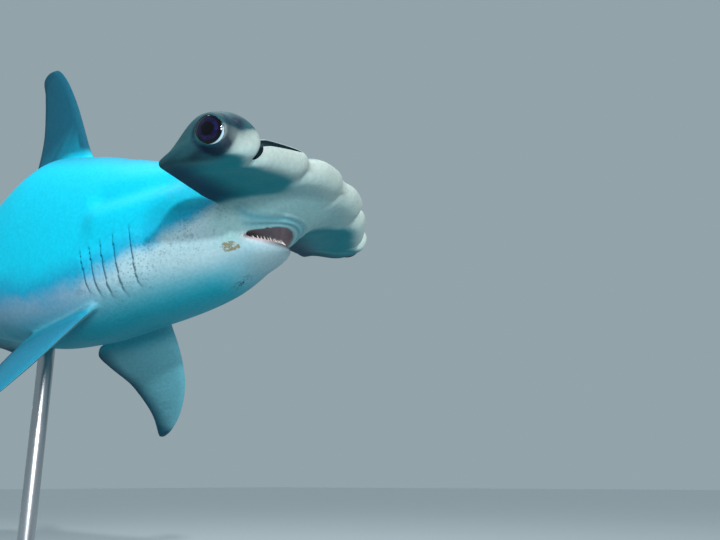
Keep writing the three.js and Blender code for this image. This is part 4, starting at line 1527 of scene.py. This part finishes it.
        # Darker patches at the hammer's tips, with painted shade round the lids.
        colour = paint.blend(colour, linear(self.dark), paint.attribute("tip_patch_and_lid_shade"))
        rough = paint.noise(self.crumb_size, 4, 0.7)
        chafed = paint.combine(paint.spread(rough, 0.47, 0.56), paint.attribute("chafe"), "MULTIPLY")
        colour = paint.blend(colour, linear(self.dark), chafed)
        crumbs = paint.spread(paint.attribute("crumbs"), 0.12, 0.75)
        crumbs = paint.spread(paint.combine(crumbs, rough, "MULTIPLY"), 0.43, 0.5, 0.0, 0.9)
        return paint.blend(colour, linear(self.crumb), crumbs)

    def make(self) -> Material:
        """The skin's material: body, head and fins with their painted shade, then their marks, gums and
        mouth.
        """
        paint = Paint("wet_shark_skin", {"IOR": 1.36, "Specular IOR Level": 0.22})
        colour = paint.blend(self.trunk(paint), self.head(paint), paint.attribute("head"))
        fins = paint.blend(linear(self.fin_blue), linear(self.fin_low), paint.attribute("fin_low"))
        fins = paint.blend(fins, linear(self.fin_dark), paint.attribute("margin"))
        colour = paint.blend(colour, fins, paint.attribute("fin"))
        colour = self.marks(paint, colour)
        colour = paint.blend(colour, linear(self.gum), paint.attribute("gum"))
        # Painted shade: the mouth darkens towards the throat and towards its floor.
        inside = paint.blend(linear(self.mouth_roof), linear(self.mouth_deep_shade), paint.attribute("deep_shade"))
        colour = paint.blend(colour, inside, paint.attribute("mouth"))
        grain = paint.noise(self.grain, 3)
        shade = paint.spread(grain, 0.3, 0.7, 0.93, 1.05)
        tint = add_node(paint.tree, "ShaderNodeCombineColor", inputs={0: shade, 1: shade, 2: shade})
        paint.set_colour(paint.blend(colour, tint.outputs[0], 1.0, "MULTIPLY"))
        paint.set_roughness(paint.spread(paint.noise(self.gloss_drift, 4), 0.3, 0.7, 0.5, 0.64))
        paint.set_bump(grain, self.grain_depth, 0.5)
        return paint.material


@dataclass(frozen=True)
class HollowLining:
    """The dark, wet inside of gill slits and nostrils, where little light comes in."""

    deep_shade: str = "#0A1A24"
    light: str = "#16323E"
    mottle: float = 0.01

    def make(self) -> Material:
        """The lining's material."""
        paint = Paint("wet_hollow_lining", {"IOR": 1.4, "Roughness": 0.55})
        paint.set_colour(paint.blend(linear(self.deep_shade), linear(self.light), paint.noise(self.mottle, 3)))
        return paint.material


@dataclass(frozen=True)
class EyeGlass:
    """A glossy eyeball: a wide black pupil in a dark violet iris, under a clear wet cornea.

    Each ring comes on between two shares of the eye's radius, and the white also ends again.
    """

    pupil: str = "#040308"
    iris: str = "#0D0B2C"
    streak: str = "#1B1848"
    limbus: str = "#04050F"
    white: str = "#A9CCD8"
    streak_size: float = 0.004
    iris_from: tuple[float, float] = (0.34, 0.44)
    limbus_from: tuple[float, float] = (0.56, 0.66)
    white_from: tuple[float, float] = (0.77, 0.81)
    white_to: tuple[float, float] = (0.93, 0.89)

    def make(self) -> Material:
        """The eye's material."""
        paint = Paint("wet_eye", {"IOR": 1.34, "Roughness": 0.06})
        radius = paint.attribute("gaze")
        streaks = paint.noise(self.streak_size, 4)
        iris = paint.blend(linear(self.iris), linear(self.streak), paint.spread(streaks, 0.4, 0.7))
        colour = paint.blend(linear(self.pupil), iris, paint.spread(radius, *self.iris_from))
        colour = paint.blend(colour, linear(self.limbus), paint.spread(radius, *self.limbus_from))
        pale = paint.spread(radius, *self.white_from)
        pale = paint.combine(pale, paint.attribute("lower_rim"), "MULTIPLY")
        pale = paint.combine(pale, paint.spread(radius, *self.white_to), "MULTIPLY")
        paint.set_colour(paint.blend(colour, linear(self.white), pale))
        return paint.material


@dataclass(frozen=True)
class ToothEnamel:
    """Smooth, hard enamel, white at the tip and slightly warm at the root, with 1 mm ripples."""

    tip: str = "#F1F1EA"
    root: str = "#D8CFC4"
    ripple: float = 0.001
    ripple_depth: float = 0.0002

    def make(self) -> Material:
        """The teeth's material."""
        paint = Paint("tooth_enamel", {"IOR": 1.6, "Roughness": 0.25, "Coat Weight": 0.3})
        paint.set_colour(paint.blend(linear(self.root), linear(self.tip), paint.attribute("crown")))
        paint.set_bump(paint.noise(self.ripple, 2), self.ripple_depth, 0.4)
        return paint.material


@dataclass(frozen=True)
class PowderCoat:
    """Matt black powder coat, baked on steel: an orange-peel texture with bumps 2 mm wide."""

    colour: str = "#26272A"
    worn: str = "#2F3135"
    peel: float = 0.002
    peel_depth: float = 0.0002
    wear: float = 0.08
    gloss_drift: float = 0.05

    def make(self) -> Material:
        """The base's material."""
        paint = Paint("powder_coated_steel", {"IOR": 1.5, "Specular IOR Level": 0.4})
        paint.set_colour(paint.blend(linear(self.colour), linear(self.worn), paint.noise(self.wear, 3)))
        paint.set_roughness(paint.spread(paint.noise(self.gloss_drift, 2), 0.3, 0.7, 0.46, 0.58))
        paint.set_bump(paint.noise(self.peel, 2), self.peel_depth, 0.5)
        return paint.material


@dataclass(frozen=True)
class SatinSteel:
    """Stainless steel rod, drawn and brushed round: fine rings catch the light.

    Real brush marks are too fine to show, so the rings are drawn 2.5 mm apart.
    """

    colour: str = "#B9BCC0"
    streak: str = "#B1B4B9"
    ring_gap: float = 0.0025
    stretch: tuple[float, float, float] = (0.06, 0.06, 1)

    def make(self) -> Material:
        """The rods' material."""
        paint = Paint("satin_steel", {"Metallic": 1.0})
        squash = add_node(
            paint.tree, "ShaderNodeMapping", inputs={"Vector": paint.place, "Scale": self.stretch}
        )
        rings = add_node(
            paint.tree,
            "ShaderNodeTexNoise",
            inputs={"Vector": squash.outputs[0], "Scale": 1 / self.ring_gap, "Detail": 1.0},
        ).outputs["Fac"]
        paint.set_colour(paint.blend(linear(self.colour), linear(self.streak), rings))
        paint.set_roughness(paint.spread(rings, 0.3, 0.7, 0.3, 0.35))
        return paint.material


@dataclass(frozen=True)
class StudioPaper:
    """A seamless sheet of matt, pale studio paper."""

    colour: str = "#B6C0C4"
    cloud: str = "#B3BDC1"
    drift: float = 0.5

    def make(self) -> Material:
        """The floor's material."""
        paint = Paint("pale_studio_paper", {"Roughness": 1.0, "Specular IOR Level": 0.0})
        paint.set_colour(paint.blend(linear(self.colour), linear(self.cloud), paint.noise(self.drift, 2)))
        return paint.material


@dataclass(frozen=True)
class Colouring:
    """Where the animal's colours and its painted shade lie on its skin, as masks with one number for each
    place.

    Places are given in body, as rows of s, y and z, with the surface's direction at each in normal.
    """

    line: tuple[tuple[float, float], ...] = (
        (8, 0.2), (11, 0.1), (13, -0.4), (16, -1.1), (19, -1.7), (22, -2.4), (26, -3.6), (31, -3.8),
        (39, -3.2), (48, -2.4), (57, -1.5), (65, -0.8), (71, -0.5), (76, 0.2), (80, 3.6), (84, 7.0),
        (91, 13.0), (96, 18),
    )
    band: float = 0.55
    fold_gap: float = 0.42
    ridge_share: tuple[float, float] = (0.8, 0.93)
    throat_end: tuple[float, float] = (18, 25)
    tail_start: tuple[float, float] = (83, 94)
    gum_strength: float = 0.85
    dorsal_dusk: float = 0.85
    tail_dusk: float = 0.6

    def rise(self, body: Array, normal: Array) -> Array:
        """The height over the line between back and flank: 0.5 on it, 1 well over it."""
        s, _, z = body.T
        tall = np.maximum(TRUNK.depth(s), 1.2)
        rise = 0.5 + (z - curve_through(self.line)(s)) / (tall * self.band)
        away = ease(TRUNK.outside(body), 0.4, 1.6)
        return np.clip(mix(rise, np.maximum(rise, 0.5 + 0.4 * normal[:, 2]), away), -0.2, 1.3)

    def keel_shade(self, body: Array) -> Array:
        """The painted shade along the belly, where its underside lies in shadow."""
        s, _, z = body.T
        height = (z - TRUNK.belly(s)) / TRUNK.depth(s)
        return (1 - ease(height / mix(0.13, 0.22, ease(s, 11, 18)), 0.0, 1.0)) * ease(s, 8.5, 14)

    def ridge(self, body: Array) -> Array:
        """The top of the back, by its share of the body's height."""
        s, _, z = body.T
        return ease((z - TRUNK.belly(s)) / np.maximum(TRUNK.depth(s), 1), *self.ridge_share)

    def speckle(self, body: Array, rise: Array) -> Array:
        """Where the throat's small dark specks are."""
        s = body[:, 0]
        along = ease(s, 8, 10.5) * (1 - ease(s, 19, 26)) * (1 - ease(TRUNK.outside(body), 0.2, 1))
        return along * ease(rise, 0.0, 0.2) * (1 - ease(rise, 0.5, 0.75))

    def folds(self, body: Array) -> Array:
        """Painted bluish shade in the creases that run round the front of the upper lip."""
        s, _, z = body.T
        distance = MOUTH.lip_distance(body)
        creases = 0.5 + 0.5 * np.sin(distance * 2 * np.pi / self.fold_gap)
        reach = dip(distance, 0.75, 0.55) * (1 - ease(s, 8.4, 9.8))
        reach *= ease(z - MOUTH.lip_height(s), -0.5, -0.2)
        return (0.3 + 0.5 * creases) * reach * (z < 0) * (s < 10)

    def head_cover(self, body: Array, normal: Array) -> Array:
        """How far the head's colours reach back: further on the ridge than on the sides."""
        s, y, z = body.T
        side_on = 1 - ease(s + 2.2 * ease(z, -0.6, 1.0), 10, 12.6)
        from_top = 1 - ease(s, 8.0, 17.5)
        cover = mix(side_on, from_top, ease(normal[:, 2], 0.5, 0.9) * self.ridge(body))
        wing = ease(TRUNK.outside(body), 0.2, 1.2) * (s < 14)
        jaw = ease(MOUTH.lip_height(s) - z, 0.25, 0.9) * ease(s, 6.8, 7.4) * (np.abs(y) < 5.5)
        return np.clip(cover + wing, 0, 1) * (1 - jaw)

    def tip_patches_and_lid_shade(self, body: Array) -> Array:
        """Darker patches at the hammer's tips: painted shade round the lids, and darker patches under the
        eye, behind it and before it.
        """
        s, y, z = body.T
        out = np.abs(y)
        around = np.hypot(s - EYE.s, z - EYE.z)
        # Painted shade in a ring round the lids.
        lids = 0.75 * dip(around, EYE.radius + 0.05, 0.16) * ease(out, 12.2, 12.9)
        under_eye = dip(s, 5.8, 0.85) * dip(z, -1.05, 0.45) * ease(out, 11.9, 12.9)
        streak = dip(z, -0.75, 0.22) * ease(s, 6, 6.8) * (1 - ease(s, 7.6, 8.8)) * ease(out, 12.2, 13.2) * 0.7
        blotch = 1.3 * dip(s, 4.25, 0.45) * dip(out, 12.35, 0.5) * dip(z, 0.55, 0.8)
        return np.clip(0.88 * (under_eye + streak + blotch) + lids, 0, 0.92) * (s < 12)

    def head_masks(self, body: Array, normal: Array) -> dict[str, Array]:
        """The masks of the head's colours and of the painted shade under the hammer, by name."""
        s, y, z = body.T
        out = np.abs(y)
        share = HAMMER.chord_share(body)
        below = np.maximum(ease(-z, -0.9, 0.3), ease(-normal[:, 2], 0.2, 0.6)) * (s < 13)
        off_trunk = ease(TRUNK.outside(body), -0.3, 1.7)
        # How far the painted shade under the hammer reaches, towards its middle, its tips and its rear
        # margin.
        past_cheek = ease(out, 4.5, 6)
        inner = ease(share, mix(0.2, 0.08, past_cheek), mix(0.5, 0.32, past_cheek))
        tip = 0.8 * ease(s, 4.7, 6.3) * ease(out, 10.6, 11.8)
        rear = ease(share, 0.55, 0.92) * ease(out, 3.6, 6)
        crown = ease(normal[:, 2] + 0.35 * ease(out, 10.5, 12.5), -0.05, 0.45) * ease(z, -0.3, 0.4)
        brow = 0.9 * ease(out, 10.9, 12.1) * ease(z, -1.5, 0.9) * (s < 9)
        return {
            "head": self.head_cover(body, normal),
            # Painted shade under the hammer: pale blue behind the front margin, teal mid-chord, navy towards
            # the rear margin.
            "underside_shade": ease(share, -0.04, 0.3) * below,
            "ridge": ease(normal[:, 2], 0.55, 0.97) * self.ridge(body),
            "crown": np.clip(crown + brow, 0, 1),
            "shade": np.maximum(inner, tip) * ease(out, 2.6, 5.0) * below * off_trunk,
            "rear_underside_shade": 0.9 * (rear * below * off_trunk),
            "temple": ease(out, 11.6, 13.1) * ease(s, 5.2, 7.2) * (s < 12),
            "tip_patch_and_lid_shade": self.tip_patches_and_lid_shade(body),
        }

    def fin_masks(self, body: Array, normal: Array) -> dict[str, Array]:
        """Where the fins are, their dusky rear margins, and the pale faces below the paired ones."""
        fin, margin, low = np.zeros(len(body)), np.zeros(len(body)), np.zeros(len(body))
        for each in FINS:
            held = each.holds(body)
            low = np.maximum(low, held * ease(-normal[:, 2], 0.0, 0.3) * isinstance(each, PairedFin))
            fin = np.maximum(fin, ease(each.clear_of_body(body), 0.1, 2.2) * held)
            margin = np.maximum(margin, each.dusk(body) * held)
        dorsal = DORSAL.holds(body) * ease(DORSAL.clear_of_body(body), 0.0, 1.2)
        tail = ease(body[:, 0], *self.tail_start)
        dusky = np.maximum.reduce([margin, self.dorsal_dusk * dorsal, self.tail_dusk * tail])
        return {"fin": np.maximum.reduce([fin, dorsal, tail]), "margin": dusky, "fin_low": low}

    def masks(self, body: Array, normal: Array) -> dict[str, Array]:
        """All masks that the skin's finish reads, by the names of their attributes."""
        s, y, z = body.T
        rise = self.rise(body, normal)
        mouth = MOUTH.lining(body)
        fins = self.fin_masks(body, normal)
        return {
            "rise": rise,
            "throat": 1 - ease(s, *self.throat_end),
            "keel_shade": self.keel_shade(body),
            "mouth": mouth,
            # Painted shade deep in the mouth.
            "deep_shade": np.clip(ease(s, 8.9, 10.0) + ease(-z, 3.1, 3.7), 0, 1),
            "gum": MOUTH.rim_nearness(body) * self.gum_strength * (1 - mouth),
            "lip_crease_shade": self.folds(body) * (1 - mouth),
            "speckle": self.speckle(body, rise) * (1 - fins["fin"]),
            "crumbs": dip(s, 10.85, 0.95) * dip(z, -3.2, 0.45) * (y < 0),
            "chafe": 0.8 * dip(s, 12.1, 0.75) * dip(y, 0.0, 0.6) * (z < -4),
            **fins,
            **self.head_masks(body, normal),
        }


COLOURING = Colouring()


@dataclass
class Skin:
    """The whole animal's skin, with fins, jaw, mouth, gills and sockets, as one closed surface."""

    voxel: float = 0.0027
    faces_kept: int = 170000
    even_weight: float = 0.8
    even_passes: int = 5
    joint_spread: float = 1.3
    joint_passes: int = 130
    cheek_spread: float = 1.6
    root_passes: int = 30
    ripple_height: float = 0.045
    ripple_gap: float = 0.62
    crease_depth: float = 0.12
    crease_width: float = 0.32
    socket_margin: float = 0.023
    nodes: tuple[str, ...] = (
        "head", "lower_jaw", "neck", "torso_front", "torso_rear", "tail", "dorsal_first", "dorsal_second",
        "anal_fin", "pectoral_left", "pectoral_right", "pelvic_left", "pelvic_right", "caudal_upper",
        "caudal_lower",
    )

    def build(self) -> Piece:
        """Models the straight skin, cuts its openings and bends it to its pose.

        Returns:
            The finished skin, bent, with the attributes that its finish reads.
        """
        head = join([TRUNK.build(), HAMMER.build(), MOUTH.jaw()], "head_block")
        apply_modifier(head, "REMESH", mode="VOXEL", voxel_size=self.voxel)
        for cutter in (MOUTH.hollow(), MOUTH.basin()):
            cut(head, cutter)
        extras = [EYE.orbit(side) for side in Side] + [fin.build() for fin in FINS]
        skin = join([head, *extras], "shark_skin")
        self.remesh(skin)
        LOG.info("skin remeshed: %d faces", len(skin.data.polygons))
        self.settle(skin)
        coat(skin, SharkSkin().make())
        for cutter in self.cutters():
            cut(skin, cutter)
        self.thin_fins(skin)
        masks = COLOURING.masks(body_from_straight(points_of(skin)), normals_of(skin))
        for name, values in masks.items():
            set_attribute(skin, name, values)
        bend_to_pose(skin)
        return skin

    def remesh(self, skin: Piece) -> None:
        """Turns joined closed shapes into one even skin, coarser towards the tail."""
        set_points(skin, straight_from_body(SQUEEZE.press(body_from_straight(points_of(skin)))))
        apply_modifier(skin, "REMESH", mode="VOXEL", voxel_size=self.voxel)

    def real_body(self, skin: Piece) -> Array:
        """The squeezed skin's real places, as rows of s, y and z."""
        return SQUEEZE.release(body_from_straight(points_of(skin)))

    def settle(self, skin: Piece) -> None:
        """Softens the joints, adds the relief and drops spare faces."""
        soften(skin, np.full(len(skin.data.vertices), self.even_weight), self.even_passes)
        soften(skin, self.joint_weights(self.real_body(skin)), self.joint_passes)
        body = self.real_body(skin)
        soften(skin, np.max([fin.root_nearness(body) for fin in FINS], axis=0), self.root_passes)
        body = self.real_body(skin)
        set_points(skin, straight_from_body(body))
        set_points(skin, straight_from_body(self.relief(skin, body)))
        triangles = 2 * len(skin.data.polygons)
        apply_modifier(skin, "DECIMATE", ratio=min(1.0, self.faces_kept / triangles))

    def joint_weights(self, body: Array) -> Array:
        """Where wing, jaw and trunk meet, and are to flow into each other."""
        s, _, z = body.T
        front = 1 - ease(s, 13, 15)
        trunk = TRUNK.outside(body)
        wing = HAMMER.outside(body)
        joint = np.exp(-((trunk / self.joint_spread) ** 2) - (wing / self.joint_spread) ** 2)
        cheek = np.exp(-((trunk / self.cheek_spread) ** 2)) * dip(s, 11.4, 2.0) * ease(-z, 0.6, 1.6)
        away = 1 - MOUTH.rim_nearness(body) * (s < 9.7)
        return np.clip(joint + cheek, 0, 1) * front * np.clip(away, 0, 1)

    def relief(self, skin: Piece, body: Array) -> Array:
        """Moves the surface along its normals for gill flaps, creases and folds of the lips.

        Args:
            skin: The straight skin in its real proportions.
            body: Its vertices as rows of s, y and z.

        Returns:
            The moved rows.
        """
        s, y, z = body.T
        normal = normals_of(skin) * np.array([-1, 1, 1])
        on_trunk = np.exp(-((TRUNK.outside(body) / 0.8) ** 2))
        over_gills = ease(s, 12, 15) * (1 - ease(s, 20.5, 22.5))
        bulge = (0.42 * dip(z, 2.2, 1.3) - 0.4 * dip(z, 4.3, 1.0)) * over_gills
        height = (GILLS.relief(body) + bulge) * on_trunk
        distance = MOUTH.lip_distance(body)
        wave = np.sin(distance * 2 * np.pi / self.ripple_gap + 0.6)
        ripple = self.ripple_height * wave * dip(distance, 0.9, 0.6)
        ahead = (1 - ease(s, 8.6, 10)) * ease(z - MOUTH.lip_height(s), -0.5, -0.2)
        height = height + ripple * ahead * ((z < 0) & (s < 12)) * (distance > 0.25)
        share = HAMMER.chord_share(body)
        for notch in HAMMER.notches:
            crease = dip(np.abs(y), notch.at, self.crease_width) * ease(share, 0, 0.05)
            crease = crease * (1 - ease(share, 0.1, 0.35))
            height = height - self.crease_depth * crease * (s < 9)
        return body + normal * height[:, None]

    def cutters(self) -> list[Piece]:
        """The shapes that open the gills, nostrils and eye sockets."""
        openings = [
            join(GILLS.cutters(), "gill_cutters"),
            join([NOSTRIL.slit(side) for side in Side], "nostril_cutters"),
            join([NOSTRIL.groove(side) for side in Side], "groove_cutters"),
            join([EYE.ball(side, self.socket_margin) for side in Side], "socket_cutters"),
        ]
        lining = HollowLining().make()
        for opening in openings:
            coat(opening, lining)
        return openings

    def thin_fins(self, skin: Piece) -> None:
        """Brings every fin to its real thickness."""
        body = body_from_straight(points_of(skin))
        for fin in FINS:
            body = fin.thin(body)
        set_points(skin, straight_from_body(body))


@dataclass
class Eyes:
    """The two glossy eyeballs, each with a pale crescent along its lower front edge."""

    lower: tuple[float, float, float] = (0.45, 0, -0.9)
    rim_start: float = -0.45
    rim_end: float = -0.1

    def build(self, side: Side) -> Piece:
        """One eyeball in its socket, with its rings marked.

        Args:
            side: The side that it is on.

        Returns:
            The finished eyeball, bent with the head.
        """
        ball = EYE.ball(side)
        points = points_of(ball)
        inward = EYE.turned(side).inverted()
        local = points @ np.array(inward.to_3x3()).T + np.array(inward.translation)
        local[:, 2] += EYE.sunk * UNIT
        radius = np.hypot(local[:, 0], local[:, 1]) / (EYE.radius * UNIT)
        middle, _ = EYE.pose(side)
        lower = np.array(Vector(self.lower).normalized())
        low = (points - np.array(middle)) @ lower / (EYE.radius * UNIT)
        set_attribute(ball, "gaze", np.where(local[:, 2] > 0, radius, 2 - radius))
        set_attribute(ball, "lower_rim", ease(low, self.rim_start, self.rim_end))
        bend_to_pose(ball)
        coat(ball, EyeGlass().make())
        return ball


@dataclass
class Teeth:
    """Small slender teeth in a row along the lower jaw's rim, with a second row behind it."""

    count: int = 27
    height: float = 0.46
    root: float = 0.12
    width: float = 0.12
    lean: float = 0.22
    flatness: float = 0.7
    rows: tuple[tuple[float, float], ...] = ((0.2, 1.0), (0.36, 0.72))
    reach: float = 0.86
    spread: float = 1.04
    gap_share: float = 0.62
    seed: int = 11

    def tooth(self, height: float, width: float) -> Piece:
        """One narrow cusp that leans back a little, on a wider foot.

        Args:
            height: Its height over the gum.
            width: The foot's half width.

        Returns:
            The closed tooth, at the origin.
        """
        t = np.linspace(0, 1, 9)[:, None]
        angle = round_angles(10)
        radius = width * (0.35 + 0.65 * (1 - t) ** 2.2) * np.sqrt(1 - t * 0.985)
        back = -(self.lean * height * t**2)
        rise = mix(-self.root, height, t)
        ring = np.stack(
            [back + self.flatness * radius * np.sin(angle), radius * np.cos(angle), rise + 0 * angle], -1
        )
        return loft("tooth", ring * UNIT)

    def placed(self, draw: np.random.Generator, t: float, inset: float, size: float) -> Piece:
        """One tooth at its place on the rim, a little uneven.

        Args:
            draw: Where its unevenness comes from.
            t: Its place along the rim, -1 and 1 at the mouth's corners.
            inset: How far inside the rim it stands.
            size: Its row's size against the first row's.

        Returns:
            The tooth, with its height marked for its finish.
        """
        t += (draw.random() - 0.5) * 0.02
        slope = 2 * (MOUTH.corner_s - MOUTH.jaw_s) * t / MOUTH.corner_y
        inward = inset / math.hypot(1, slope)
        s = MOUTH.jaw_s + (MOUTH.corner_s - MOUTH.jaw_s) * t * t + inward
        y = MOUTH.corner_y * self.spread * t - slope * inward
        rim = float(MOUTH.rim_height(np.array(s)))
        scale = (0.8 + 0.4 * draw.random()) * (1 - 0.4 * abs(t)) * size
        gap = float(MOUTH.lip_height(np.array(s))) - rim
        height = min(self.height * scale, self.gap_share * gap)
        tooth = self.tooth(height, self.width * scale)
        turn = math.atan(slope) + (draw.random() - 0.5) * 0.3
        place = Matrix.Translation(Vector((-s, y, rim - 0.02)) * UNIT) @ Matrix.Rotation(turn, 4, "Z")
        tooth.data.transform(place @ Matrix.Rotation((draw.random() - 0.5) * 0.2, 4, "Y"))
        crown = (points_of(tooth)[:, 2] / UNIT - rim) / height
        set_attribute(tooth, "crown", np.clip(crown, 0, 1))
        return tooth

    def build(self) -> Piece:
        """All teeth, joined to one piece."""
        draw = np.random.default_rng(self.seed)
        teeth = []
        for row, (inset, size) in enumerate(self.rows):
            for number in range(self.count - row):
                t = mix(-self.reach, self.reach, (number + 0.5 * row) / (self.count - 1))
                teeth.append(self.placed(draw, t, inset, size))
        row_of_teeth = join(teeth, "lower_teeth")
        bend_to_pose(row_of_teeth)
        coat(row_of_teeth, ToothEnamel().make())
        return row_of_teeth


@dataclass
class Stand:
    """A flat steel base with rounded corners, and two rods in bolted flanges. Sizes in metres."""

    corner: float = 0.06
    corner_steps: int = 14
    base_trim: float = 0.002
    rod_trim: float = 0.0008
    flange_trim: float = 0.0015
    post_sides: int = 64
    screws: int = 4
    screw_circle: float = 0.72
    screw_radius: float = 0.0055
    screw_height: float = 0.004
    screw_rise: float = 0.0008
    screw_sides: int = 24
    socket_inset: float = 0.0026
    socket_depth: float = 0.0022

    def base(self) -> Piece:
        """The base plate, a cube with its upright edges and then its rim rounded."""
        low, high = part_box("stand_base")
        size = high - low
        deselect_all()
        bpy.ops.mesh.primitive_cube_add(size=1, location=(low + high) / 2, scale=size)
        plate = placed_primitive("base_plate")
        clear_selection("EDGE")
        for edge in plate.data.edges:
            first, second = (plate.data.vertices[i].co for i in edge.vertices)
            edge.select = abs(first.z - second.z) > size.z / 2
        bpy.ops.object.mode_set(mode="EDIT")
        bpy.ops.mesh.bevel(offset=self.corner, segments=self.corner_steps, affect="EDGES")
        bpy.ops.object.mode_set(mode="OBJECT")
        trim_edges(plate, self.base_trim)
        coat(plate, PowderCoat().make())
        return plate

    def post(self, node: str, name: str, trim: float) -> Piece:
        """A turned post in the place of a CAD node, its edges trimmed."""
        low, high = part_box(node)
        size = high - low
        deselect_all()
        bpy.ops.mesh.primitive_cylinder_add(
            vertices=self.post_sides, radius=size.x / 2, depth=size.z, location=(low + high) / 2
        )
        post = placed_primitive(name)
        trim_edges(post, trim)
        return post

    def screw(self, place: tuple[float, float, float]) -> Piece:
        """A socket screw's head: a disc with its upper face inset and sunk."""
        deselect_all()
        bpy.ops.mesh.primitive_cylinder_add(
            vertices=self.screw_sides, radius=self.screw_radius, depth=self.screw_height, location=place
        )
        screw = placed_primitive("screw")
        clear_selection("FACE")
        for face in screw.data.polygons:
            face.select = face.normal.z > 0.9
        bpy.ops.object.mode_set(mode="EDIT")
        bpy.ops.mesh.inset(thickness=self.socket_inset)
        bpy.ops.mesh.extrude_region_move(TRANSFORM_OT_translate={"value": (0, 0, -self.socket_depth)})
        bpy.ops.object.mode_set(mode="OBJECT")
        return screw

    def flange(self, node: str, name: str) -> Piece:
        """A turned flange with its socket screws."""
        flange = self.post(node, name, self.flange_trim)
        low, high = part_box(node)
        middle = (low + high) / 2
        reach = (high.x - low.x) / 2 * self.screw_circle
        screws = []
        for turn in range(self.screws):
            angle = math.radians(45 + 360 / self.screws * turn)
            across = (middle.x + reach * math.cos(angle), middle.y + reach * math.sin(angle))
            screws.append(self.screw((*across, high.z + self.screw_rise)))
        return join([flange, *screws], name)

    def build(self) -> list[tuple[Piece, str, str]]:
        """All pieces of the stand, each with the node that it replaces and its slot."""
        steel = SatinSteel().make()
        pieces = [(self.base(), "stand_base", "stand_base_paint")]
        for word in ("front", "rear"):
            flange = self.flange(f"stand_flange_{word}", f"flange_{word}")
            rod = self.post(f"stand_rod_{word}", f"rod_{word}", self.rod_trim)
            for piece, node in ((flange, f"stand_flange_{word}"), (rod, f"stand_rod_{word}")):
                coat(piece, steel)
                pieces.append((piece, node, "stand_rod_steel"))
        return pieces


@dataclass(frozen=True)
class DistantLamp:
    """A lamp so far away that it is even over the whole scene, with its angles in degrees."""

    name: str
    strength: float
    softness: float
    heading: float
    height: float

    def make(self) -> Piece:
        """The lamp, turned so that it stands at its heading from +X and at its height."""
        data = bpy.data.lights.new(self.name, "SUN")
        data.energy = self.strength
        data.angle = math.radians(self.softness)
        lamp = bpy.data.objects.new(self.name, data)
        turn, tilt = math.radians(self.heading), math.radians(self.height)
        towards = Vector((math.cos(turn), math.sin(turn), math.tan(tilt)))
        lamp.rotation_euler = towards.to_track_quat("Z", "Y").to_euler()
        return lamp


@dataclass
class Studio:
    """A pale floor, soft lights and the camera at the photograph's place.

    The camera's place and directions are in the head's frame, so that they follow the head.
    """

    floor_size: float = 60
    floor_cells: int = 8
    camera_place: tuple[float, float, float] = (10.21, -54.11, -29.11)
    right: tuple[float, float, float] = (0.8952, 0.3267, -0.3031)
    back: tuple[float, float, float] = (0.212, -0.9104, -0.3552)
    focal_pixels: float = 759.5
    frame_pixels: float = 720
    sensor: float = 36
    furthest: float = 200
    sky: str = "#B9CDD6"
    sky_strength: float = 0.6
    overhead_place: tuple[float, float, float] = (0.2, 0.1, 4.0)
    overhead_size: float = 2.0
    overhead_watts: float = 90
    key: DistantLamp = DistantLamp("key", 2.2, 2.5, -30, 17)
    front_fill: DistantLamp = DistantLamp("front_fill", 1.55, 11, -28, 5.6)

    def floor(self) -> Piece:
        """The floor, level with the underside of the base."""
        deselect_all()
        bpy.ops.mesh.primitive_grid_add(
            x_subdivisions=self.floor_cells, y_subdivisions=self.floor_cells, size=self.floor_size
        )
        floor = bpy.context.object
        floor.name = "studio_floor"
        coat(floor, StudioPaper().make())
        return floor

    def overhead(self) -> Piece:
        """A soft box over the animal that faces down."""
        data = bpy.data.lights.new("overhead", "AREA")
        data.shape = "SQUARE"
        data.size = self.overhead_size
        data.energy = self.overhead_watts
        lamp = bpy.data.objects.new("overhead", data)
        lamp.location = self.overhead_place
        lamp.visible_camera = False
        return lamp

    def lights(self) -> None:
        """A low key from the camera's side, a soft fill under it, one overhead and an even surround."""
        for lamp in (self.key.make(), self.front_fill.make(), self.overhead()):
            bpy.context.scene.collection.objects.link(lamp)
        world = bpy.data.worlds.new("studio")
        world.use_nodes = True
        surround = world.node_tree.nodes["Background"].inputs
        surround["Color"].default_value = linear(self.sky)
        surround["Strength"].default_value = self.sky_strength
        bpy.context.scene.world = world
        bpy.context.scene.view_settings.view_transform = "Standard"

    def camera(self) -> None:
        """The camera, at the photograph's place, angle and width of view."""
        back = Vector(SPINE.turned @ np.array(self.back)).normalized()
        right = Vector(SPINE.turned @ np.array(self.right))
        right = (right - back * right.dot(back)).normalized()
        data = bpy.data.cameras.new("photo_view")
        data.sensor_width = self.sensor
        data.lens = self.focal_pixels / self.frame_pixels * self.sensor
        data.clip_end = self.furthest
        camera = bpy.data.objects.new("photo_view", data)
        axes = Matrix((right, back.cross(right), back)).transposed().to_4x4()
        camera.matrix_world = Matrix.Translation(SPINE.from_head(self.camera_place)) @ axes
        bpy.context.scene.collection.objects.link(camera)
        bpy.context.scene.camera = camera


def show(piece: Piece, nodes: Sequence[str]) -> None:
    """Says what a finished piece rides on and stands for."""
    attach(piece, "root")
    if nodes:
        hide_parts(*nodes)
    LOG.info("%s: %d faces", piece.name, len(piece.data.polygons))


def main() -> None:
    """Builds the model piece by piece."""
    logging.basicConfig(level=logging.INFO, format="%(name)s: %(message)s")
    studio = Studio()
    studio.camera()
    studio.floor()
    studio.lights()
    skin_form = Skin()
    show(skin_form.build(), skin_form.nodes)
    for side in Side:
        show(Eyes().build(side), [f"eye_{side.name.lower()}"])
    show(Teeth().build(), [])
    for piece, node, slot in Stand().build():
        show(piece, [node])


if __name__ == "__main__":
    main()
